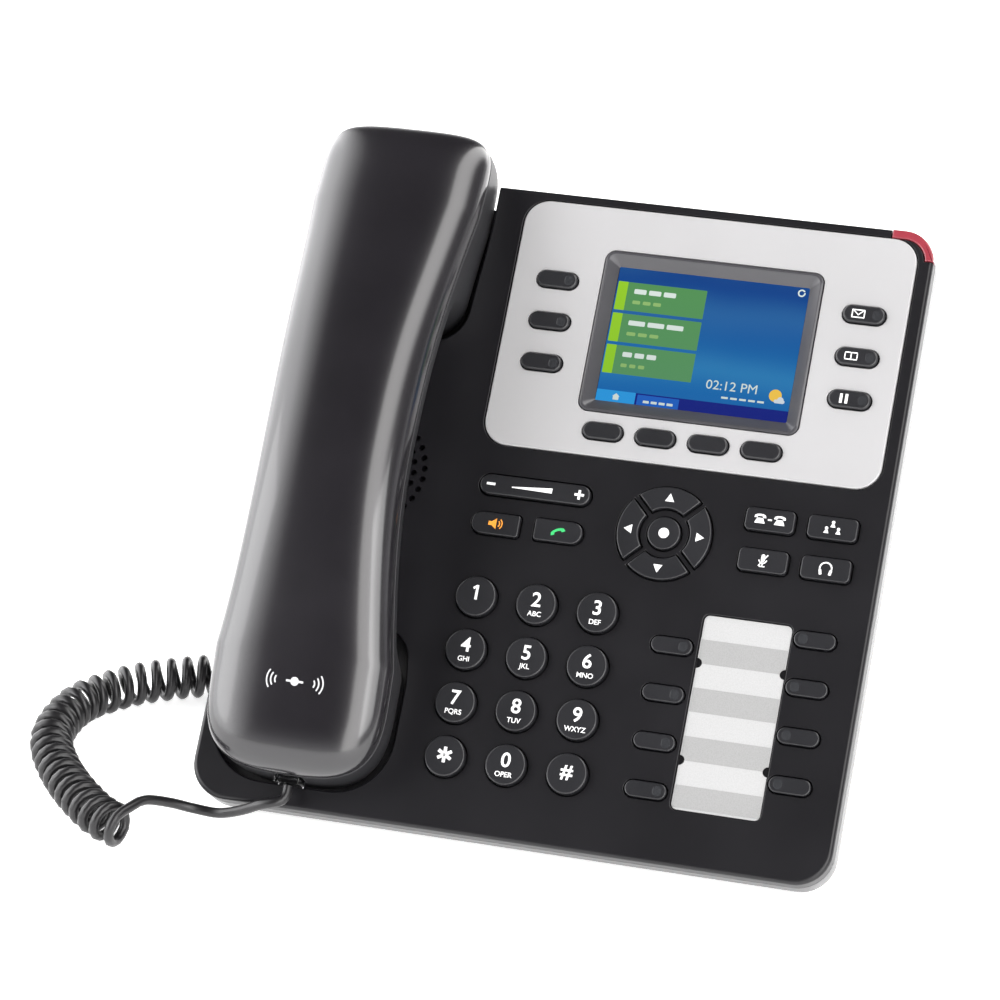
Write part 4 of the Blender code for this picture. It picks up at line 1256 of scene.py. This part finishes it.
def icons():
    """Every icon as (piece, key, shift along the key, ink, shapes)."""
    yield "transfer_mark", "transfer_key", 0.0, INK, [
        ("desk_phone", -2.9, 0.0, 1.25), ("desk_phone", 2.9, 0.0, 1.25), ("bar", 0.0, 0.0, 1.2, 0.45)]
    yield "conference_mark", "conference_key", 0.0, INK, [
        ("person", 0.0, 1.15, 0.95), ("person", -1.75, -0.75, 0.95), ("person", 1.75, -0.75, 0.95)]
    yield "mute_mark", "mute_key", 0.0, INK, [
        ("poly", shift(pill(1.1, 2.2, radius=0.5), 0.0, 0.75)), ("arc", 0.0, 0.35, 1.15, 190, 350, 0.32),
        ("bar", 0.0, -1.25, 0.3, 0.9), ("bar", 0.0, -1.8, 1.7, 0.32)]
    yield "mute_slash", "mute_key", 0.0, INK, [("bar", 0.1, 0.0, 4.3, 0.32, 55)]
    yield "headset_mark", "headset_key", 0.0, INK, [
        ("arc", 0.0, 0.1, 1.75, -40, 220, 0.42), ("bar", -1.45, -1.1, 0.8, 1.5, 12),
        ("bar", 1.45, -1.1, 0.8, 1.5, -12)]
    yield "speaker_mark", "speaker_key", 0.0, INK_ORANGE, [
        ("poly", [(-2.1, -0.6), (-1.1, -0.6), (0.3, -1.6), (0.3, 1.6), (-1.1, 0.6), (-2.1, 0.6)]),
        ("arc", 0.2, 0.0, 1.1, -48, 48, 0.34), ("arc", 0.2, 0.0, 1.85, -48, 48, 0.34)]
    yield "send_mark", "send_key", 0.0, INK_GREEN, [("handset", 0.0, -0.35, 1.0, 24)]
    for direction, name in enumerate(NAV_KEYS):
        yield name + "_mark", name, 0.0, INK, [nav_arrow(direction)]
    yield "nav_ok_mark", "nav_ok", 0.0, INK, [("disc", 0.0, 0.0, 1.55)]
    yield "message_mark", "message_key", -1.6, INK, [
        ("bar", 0.0, 1.15, 3.9, 0.32), ("bar", 0.0, -1.15, 3.9, 0.32),
        ("bar", -1.8, 0.0, 0.32, 2.0), ("bar", 1.8, 0.0, 0.32, 2.0),
        ("poly", [(-1.65, 0.95), (0.0, -0.55), (1.65, 0.95), (1.25, 0.95), (0.0, -0.15), (-1.25, 0.95)])]
    pages = [("bar", side * x, y, w, h) for side in (-1, 1)
             for x, y, w, h in ((0.98, 1.05, 1.75, 0.32), (0.98, -1.05, 1.75, 0.32), (1.8, 0.0, 0.32, 1.8))]
    yield "contacts_mark", "contacts_key", -1.6, INK, pages + [("bar", 0.0, -0.1, 0.34, 2.3)]
    yield "hold_mark", "hold_key", -1.6, INK, [("bar", -0.8, 0.0, 0.8, 2.9), ("bar", 0.8, 0.0, 0.8, 2.9)]


def key_icons():
    for piece, key, offset, ink, shapes in icons():
        x, y, top = key_spot(key)
        lift = INK_THICK if piece == "mute_slash" else 0.0
        sketch = Sketch(x + offset, y, top - 0.03 + lift)
        for kind, *values in shapes:
            getattr(sketch, kind)(*values)
        sketch.finish(piece, ink, key)


def key_windows():
    """Small lens at one end of each lit key."""
    spots = {f"line_key_{i + 1}": 3.7 for i in range(3)}
    spots.update({name: 3.9 for name in SIDE_KEYS})
    spots.update({f"memory_key_{i + 1}": (3.4 if i < 4 else -3.4) for i in range(8)})
    for name, offset in spots.items():
        x, y, top = key_spot(name)
        rings = [ring(shift(pill(2.6, 3.0, grow, 1.2), x + offset, y), top + z)
                 for grow, z in ((0.0, -0.3), (0.0, -0.01), (-0.3, 0.05))]
        lofted(name + "_window", rings, WINDOW, name, "key_plastic")


# ---------------------------------------------------------------- display, light and card

def surround(holes):
    """Painted panel with a softened edge and its openings."""
    width, height = FRAME_SIZE
    build = bmesh.new()
    low = PANEL_TOP - PANEL_THICK
    opening = pill(width, height, 0.3, 3.0)
    rim = [ring(panel_outline(-inset), PANEL_TOP - drop) for inset, drop in round_over(0.5, 4)]
    loft(build, [ring(panel_outline(), low)] + rim)
    flat = Matrix.Identity(4)
    item = make_object("display_panel", build, SILVER, place=flat)
    build = bmesh.new()
    plate(build, opening, [], low - 1.0, PANEL_TOP + 2.0)
    for outline in holes:
        flared(build, outline, low - 1.0, PANEL_TOP)
    cut(item, build, flat)
    item.data.transform(FACE)
    weigh(item)
    keep(item, "base", "silver_panel", "display_surround")


def bezel():
    """Bevelled frame round the screen."""
    width, height = FRAME_SIZE
    low = PANEL_TOP - PANEL_THICK
    profile = [
        (0.0, low, 3.0), (0.0, PANEL_TOP + 0.1, 3.0), (0.15, PANEL_TOP + 0.38, 2.9),
        (0.5, PANEL_TOP + 0.5, 2.7), (0.9, PANEL_TOP + 0.42, 2.4), (1.15, PANEL_TOP + 0.2, 2.2),
        (3.65, -1.15, 0.8), (3.85, -1.4, 0.6),
        (4.1, low, 0.5),
    ]
    build = bmesh.new()
    loops = [[build.verts.new((x, y, z)) for x, y in pill(width, height, -inset, radius + inset)]
             for inset, z, radius in profile]
    for a, b in zip(loops, loops[1:] + loops[:1]):
        for i in range(len(a)):
            build.faces.new((a[i - 1], a[i], b[i], b[i - 1]))
    keep(make_object("screen_bezel", build, GREY, 28.0), "base", "grey_bezel", "display_frame")


def sheet_at(name, outline, z, material):
    return plated(name, [outline], z, z + 0.02, material, "base", "display_glass")


def screen():
    """Lit picture: wallpaper, three line tiles, clock, weather and two tabs, all generic."""
    wide, tall = PICTURE_SIZE
    left, low = -wide / 2, -tall / 2
    z = MODULE_TOP + 0.02
    repaint("display_module", DARK)
    sheet_at("screen_wallpaper", box_outline(left, low, -left, -low, 0.3, 2), z, wallpaper_material())
    z += 0.03
    tile = glowing("tile_green", (0.1, 0.33, 0.1), 0.85, second=(0.1, 0.3, 0.13))
    stripe = glowing("tile_stripe", (0.3, 0.6, 0.02), 1.0, second=(0.24, 0.52, 0.02))
    white = glowing("screen_white", (0.75, 0.85, 0.8), 0.95)
    faint = glowing("screen_faint", (0.35, 0.62, 0.2), 0.8)
    for number in range(3):
        top = 16.6 - 9.9 * number
        for name, right, level, ink in (("tile", 27.4, z, tile), ("stripe", 3.4, z + 0.03, stripe)):
            outline = box_outline(left + 0.4, top - 8.9, left + right, top, 0.2, 2)
            sheet_at(f"{name}_{number + 1}", outline, level, ink)
        name_bar = [(13.5, 9.5), (17.5, 10.5), (11.0, 8.0)][number]
        for row, length in enumerate(name_bar):
            y = top - 2.7 - 3.4 * row
            start = left + 5.6
            for part in range(3):
                piece_length = length / 3 - 0.8
                x = start + part * (length / 3)
                sheet_at(f"bar_{number + 1}_{row + 1}_{part + 1}",
                         box_outline(x, y - 0.75 + 0.2 * row, x + piece_length, y + 0.75 - 0.2 * row, 0.3, 2),
                         z + 0.03, white if row == 0 else faint)
    base = glowing("screen_bar", (0.004, 0.02, 0.22), 0.95, second=(0.003, 0.012, 0.2))
    sheet_at("screen_bar", box_outline(left, low, -left, low + 4.3, 0.2, 2), z, base)
    tab = glowing("screen_tab", (0.02, 0.32, 0.72), 1.0, second=(0.02, 0.28, 0.66))
    sheet_at("screen_tab_1", box_outline(left, low, left + 11.8, low + 4.3, 0.2, 2), z + 0.03, tab)
    tab_two = glowing("screen_tab_dim", (0.01, 0.14, 0.52), 1.0, second=(0.01, 0.1, 0.46))
    sheet_at("screen_tab_2", box_outline(left + 12.4, low, left + 25.0, low + 3.9, 0.2, 2), z + 0.03, tab_two)
    glyphs = Sketch(0.0, 0.0, z + 0.06)
    glyphs.words("02:12 PM", 10.9, low + 9.7, 2.9, 0.0, 1.04)
    glyphs.bar(left + 6.0, low + 2.1, 1.7, 1.2)
    glyphs.poly([(left + 4.9, low + 2.6), (left + 7.1, low + 2.6), (left + 6.0, low + 3.5)])
    for part in range(4):
        glyphs.bar(left + 15.2 + 2.4 * part, low + 1.9, 1.8, 0.75)
    for part in range(5):
        glyphs.bar(9.4 + 2.7 * part, low + 6.1, 2.0, 0.6)
    glyphs.arc(left + wide - 2.2, -low - 2.4, 0.95, 30, 370, 0.45)
    glyphs.finish("screen_glyphs", white, "base", "display_glass")
    sun = glowing("screen_sun", (0.95, 0.6, 0.08), 1.0)
    cloud = glowing("screen_cloud", (0.7, 0.78, 0.85), 0.95)
    sheet_at("screen_sun", shift(circle(1.9, 32), left + wide - 4.6, low + 8.6), z + 0.05, sun)
    puffs = Sketch(0.0, 0.0, z + 0.09)
    puffs.disc(left + wide - 2.9, low + 7.4, 0.95)
    puffs.bar(left + wide - 3.2, low + 6.9, 3.2, 1.1, radius=0.5)
    puffs.finish("screen_cloud", cloud, "base", "display_glass")


def wallpaper_material():
    """Blue sky picture with soft light bands."""
    material, tree, shader = new_material("wallpaper")
    space = face_space(tree)
    sky = ramp(tree, downward(tree, space, PICTURE_SIZE[1] / 2, -17.3), "Result", [
        (0.0, (0.002, 0.055, 0.27)), (0.35, (0.003, 0.085, 0.35)),
        (0.75, (0.008, 0.17, 0.46)), (1.0, (0.006, 0.14, 0.44)),
    ])
    waves = tree.nodes.new("ShaderNodeTexWave")
    waves.wave_type = "RINGS"
    set_inputs(waves, Scale=0.018, Distortion=2.4)
    link(tree, space, "Vector", waves, "Vector")
    mix = tree.nodes.new("ShaderNodeMix")
    mix.data_type = "RGBA"
    link(tree, spread(tree, waves, 0.0, 0.12), "Result", mix, "Factor")
    tree.links.new(sky.outputs["Color"], mix.inputs["A"])
    mix.inputs["B"].default_value = (0.12, 0.5, 0.72, 1.0)
    tree.links.new(mix.outputs["Result"], shader.inputs["Emission Color"])
    set_inputs(shader, Emission_Strength=0.85, Base_Color=UNLIT)
    link(tree, spread(tree, waves, 0.1, 0.14), "Result", shader, "Roughness")
    return material


def message_lamp():
    rings = [ring(light_outline(), -LIGHT_DEPTH)]
    rings += [ring(light_outline(-inset), -drop) for inset, drop in round_over(0.5, 4)]
    lofted("message_lamp", rings, RED, "base", "red_lens", "message_light", angle=40.0)


NOTCHES = (-95.7, -124.5)


def notched_card():
    """Card outline with a half-round notch at each side for lifting the cover."""
    x0, y0, x1, y1 = CARD
    points = []
    corner = lambda cx, cy, start: [(cx + 1.6 * math.cos(start + math.pi / 2 * k / 6),
                                     cy + 1.6 * math.sin(start + math.pi / 2 * k / 6)) for k in range(7)]
    arc = [math.pi * k / 10 for k in range(11)]
    points += corner(x0 + 1.6, y0 + 1.6, math.pi)
    points += corner(x1 - 1.6, y0 + 1.6, 1.5 * math.pi)
    for y in NOTCHES[::-1]:
        points += [(x1 - CARD_NOTCH * math.sin(a), y - CARD_NOTCH * math.cos(a)) for a in arc]
    points += corner(x1 - 1.6, y1 - 1.6, 0.0)
    points += corner(x0 + 1.6, y1 - 1.6, 0.5 * math.pi)
    for y in NOTCHES:
        points += [(x0 + CARD_NOTCH * math.sin(a), y + CARD_NOTCH * math.cos(a)) for a in arc]
    return points


def label_card():
    """Striped paper card under a clear cover."""
    x0, y0, x1, y1 = CARD
    stripe = (y1 - y0) / 8
    plated("card_paper", [notched_card()], -1.0, -0.62, PAPER_WHITE, "base", "label_card", "label_card")
    for k in range(4):
        top = y1 - stripe * (2 * k + 1)
        low = max(top - stripe, y0 + 0.6)
        sheet = plates([box_outline(x0 + 0.25, low, x1 - 0.25, top, 0.1, 1)], -0.62, -0.58)
        band = make_object(f"card_band_{k + 1}", sheet, PAPER_GREY)
        for y in NOTCHES:
            for x in (x0, x1):
                if low - 1.6 < y < top + 1.6:
                    cut(band, plates([shift(circle(CARD_NOTCH, 24), x, y)], -1.0, 0.0))
        keep(band, "base", "label_card")


# ---------------------------------------------------------------- handset

def smooth(value, start, end):
    """0 before start, 1 after end, and an S-curve between."""
    t = min(1.0, max(0.0, (value - start) / (end - start)))
    return t * t * (3 - 2 * t)


def seam_z(y):
    """Height of the joint between the two handset shells: an arch over the grip."""
    return SEAM_PEAK - SEAM_DROP * (1 - math.exp(-(abs(y - GRIP_Y) / SEAM_SPREAD) ** 2.4))


def half_width(y, inset):
    """Half the handset's width: narrowest at the waist, with its ends rounded off in plan."""
    widest, rate = (EAR_HALF, EAR_WIDENING) if y > WAIST_Y else (MOUTH_HALF, MOUTH_WIDENING)
    half = min(widest, GRIP_HALF + rate * (y - WAIST_Y) ** 2) - inset
    if y > SPINE_TOP:
        reach, power = (y - SPINE_TOP) / (HANDSET_TOP - inset - SPINE_TOP), 5.0
    elif y < SPINE_BOTTOM:
        reach, power = (SPINE_BOTTOM - y) / (SPINE_BOTTOM - HANDSET_BOTTOM - inset), 3.2
    else:
        return half
    return half * max(0.0, 1 - min(1.0, reach) ** power) ** (1 / power)


def lower_z(y, across, inset):
    """Lowest level of the inner shell: deep at the ear and mouth cups, which have rounded corners in plan."""
    grip = seam_z(y) - GRIP_DEPTH
    late = CUP_CORNER * across ** 4 + inset
    ear = smooth(y - late, EAR_START, EAR_START + EAR_RUN)
    mouth = smooth(-y - late, -MOUTH_START, MOUTH_RUN - MOUTH_START)
    return grip + (EAR_Z - grip) * ear + (MOUTH_Z - grip) * mouth


def rounding(past_end):
    """Fraction of the full depth left near an end of the handset, from 1 down to 0 at the end itself."""
    reach = min(max((past_end + END_ROUND) / END_ROUND, 0.0), 1.0)
    return (1 - reach ** 2.4) ** (1 / 2.4)


def shell_depth(y, across, side, inset):
    """Height of the handset's back over the seam (side 1), or depth of its front below it (side -1)."""
    if side < 0:
        return (seam_z(y) - lower_z(y, across, inset)) * rounding(y - HANDSET_TOP) - inset
    end = max(abs(y - GRIP_Y) - 60.0, 0.0) / 45.0
    height = CROWN - 2.1 * min(1.0, end) ** 3
    return height * rounding(max(y - HANDSET_TOP, HANDSET_BOTTOM - y)) - inset


def stations(inset):
    """Places along the handset, closer together at its cups' edges and where its ends round off."""
    top, low = HANDSET_TOP - inset, HANDSET_BOTTOM + inset
    ends = [math.sin(math.pi / 2 * k / 18) for k in range(1, 18)] + [0.998]
    upper = [SPINE_TOP + (top - SPINE_TOP) * e for e in ends]
    lower = [SPINE_BOTTOM + (low - SPINE_BOTTOM) * e for e in ends]
    middle = list(np.linspace(SPINE_BOTTOM, SPINE_TOP, 121))
    return lower[::-1] + middle + upper


def section(y, inset, side, base_drop, steps=44):
    """Closed section of a shell at y: an arch above the seam (side 1) or a trough below it (side -1)."""
    half = half_width(y, inset)
    seam = seam_z(y)
    power = 2.6 if side > 0 else 4.0
    points = [(HANDSET_X + half, y, seam - side * base_drop)] if base_drop else []
    for k in range(steps + 1):
        angle = math.pi * k / steps
        across = math.copysign(abs(math.cos(angle)) ** (2 / power), math.cos(angle))
        rise = abs(math.sin(angle)) ** (2 / power)
        depth = shell_depth(y, across, side, inset)
        points.append((HANDSET_X + half * across, y, seam + side * depth * rise))
    if base_drop:
        points.append((HANDSET_X - half, y, seam - side * base_drop))
    return points


def shell(name, material, side, trim):
    """Half of the handset, hollow, with its rim trim away from the seam."""
    outer = [[(x, yy, z + side * trim) for x, yy, z in section(y, 0.0, side, 0.0)] for y in stations(0.0)]
    build = bmesh.new()
    loft(build, outer)
    item = make_object(name, build, material, 50.0)
    inner = bmesh.new()
    loft(inner, [section(y, SHELL, side, 1.5) for y in stations(SHELL)])
    cut(item, inner)
    return item


def handset():
    outer = shell("handset_back", HANDSET_OUTER, 1, 0.2)
    soften(outer, 0.35, 55.0)
    keep(outer, "handset", "handset_outer", "handset_outer_shell")
    inner = shell("handset_front", HANDSET_INNER, -1, 0.2)
    wide, _, tall = PLUG_SIZE
    socket = bmesh.new()
    outline = box_outline(-wide / 2 - GAP, -tall / 2 - GAP, wide / 2 + GAP, tall / 2 + GAP, 0.4)
    ends = (HANDSET_BOTTOM - 6.0, -138.0)
    loft(socket, [[(HANDSET_X + x, y, PLUG_Z + z) for x, z in outline] for y in ends])
    cut(inner, socket)
    soften(inner, 0.3, 55.0)
    keep(inner, "handset", "handset_inner", "handset_inner_shell")
    sound_port_shade()
    handset_mark()


def sound_port_shade():
    """Painted shade of the sound openings: dark discs in rings on the ear cup and a short row on the mouth cup, set
    where the holes' shade would show.
    """
    spots = [(HANDSET_X, 27.0)]
    for radius, count in ((3.2, 6), (6.2, 12)):
        spots += shift(circle(radius, count), HANDSET_X, 27.0)
    row = [(HANDSET_X + 3.0 * k, -124.0) for k in range(-2, 3)]
    for name, places, level, size in (("ear_ports", spots, EAR_Z, 0.75), ("mouth_ports", row, MOUTH_Z, 0.6)):
        # Dark discs on the cup's face stand in for the holes: painted shade, since the shell itself is not cut
        # through.
        holes = [shift(circle(size, 16), x, y) for x, y in places]
        plated(name, holes, level - 0.23, level + 0.1, DARK, "handset", "handset_inner")


def shell_top(x, y):
    """Height of the handset's back over a point."""
    u = min(1.0, abs(x - HANDSET_X) / half_width(y, 0.0))
    return seam_z(y) + 0.2 + shell_depth(y, 0.0, 1, 0.0) * (1 - u ** 2.6) ** (1 / 2.6)


def handset_mark():
    """Printed sound waves near the mouth end, laid on the curved back."""
    sketch = Sketch(HANDSET_X + 1.0, -122.5, 0.0)
    for side in (-1, 1):
        for n in range(3):
            middle = 0 if side > 0 else 180
            sketch.arc(side * 4.4, 0.0, 1.6 + 1.25 * n, middle - 38, middle + 38, 0.42)
    sketch.disc(0.0, 0.0, 1.25)
    sketch.bar(0.0, 0.0, 5.2, 0.6)
    build = sketch.build
    bmesh.ops.subdivide_edges(build, edges=build.edges[:], cuts=1)
    for v in build.verts:
        v.co.z = shell_top(v.co.x, v.co.y) + (0.035 if v.co.z > 0.0 else -0.02)
    sketch.finish("handset_mark", INK_DIM, "handset", "handset_outer")


# ---------------------------------------------------------------- stand, feet and the rest

def dress(node, material, width=0.0):
    """Gives a CAD node a finish, and rounded edges when a width is given."""
    item = repaint(node, material)
    if width:
        item.modifiers.new("weld", "WELD").merge_threshold = 0.00001
        add_bevel(item, width, 2, 30.0)
    add_weighting(item)


def build_scene():
    make_stage()
    cord, path, length = make_cord()
    names = list(SHAPES)
    deck = [key_opening(name) for name in names if not on_panel(name)]
    x, y, wide, tall = rocker_plan()
    deck.append(lambda grow: shift(pill(wide, tall, 0.5 + grow), x, y))
    front_casing(deck)
    rear_casing()
    screws()
    jack_contacts()
    surround([key_opening(name) for name in names if on_panel(name)])
    bezel()
    screen()
    message_lamp()
    label_card()
    for name in names:
        key_cap(name)
    rocker()
    dial_marks()
    key_icons()
    key_windows()
    handset()
    dress("stand", BLACK_REAR, 0.5)
    dress("front_foot", RUBBER, 0.2)
    dress("stand_foot", RUBBER, 0.2)
    dress("main_board", BOARD)
    dress("handset_plug", CLEAR, 0.2)
    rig.cord(cord, exit=path[-1], length=length, diameter=WIRE * MM, far_end="object", stiffness="limp",
            lay="loose", path=path[::-1], with_pieces=["handset_plug"])
    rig.blend(cord, "base", "handset", start=Vector((-0.14, -0.016, 0.0)), end=Vector((-0.14, -0.071, 0.0)))


build_scene()

with open("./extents.json", "w") as file:
    json.dump({
        "cad": [list(corner) for corner in CAD_BOUNDS],
        "visual": [list(corner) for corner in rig.bounds()],
    }, file)
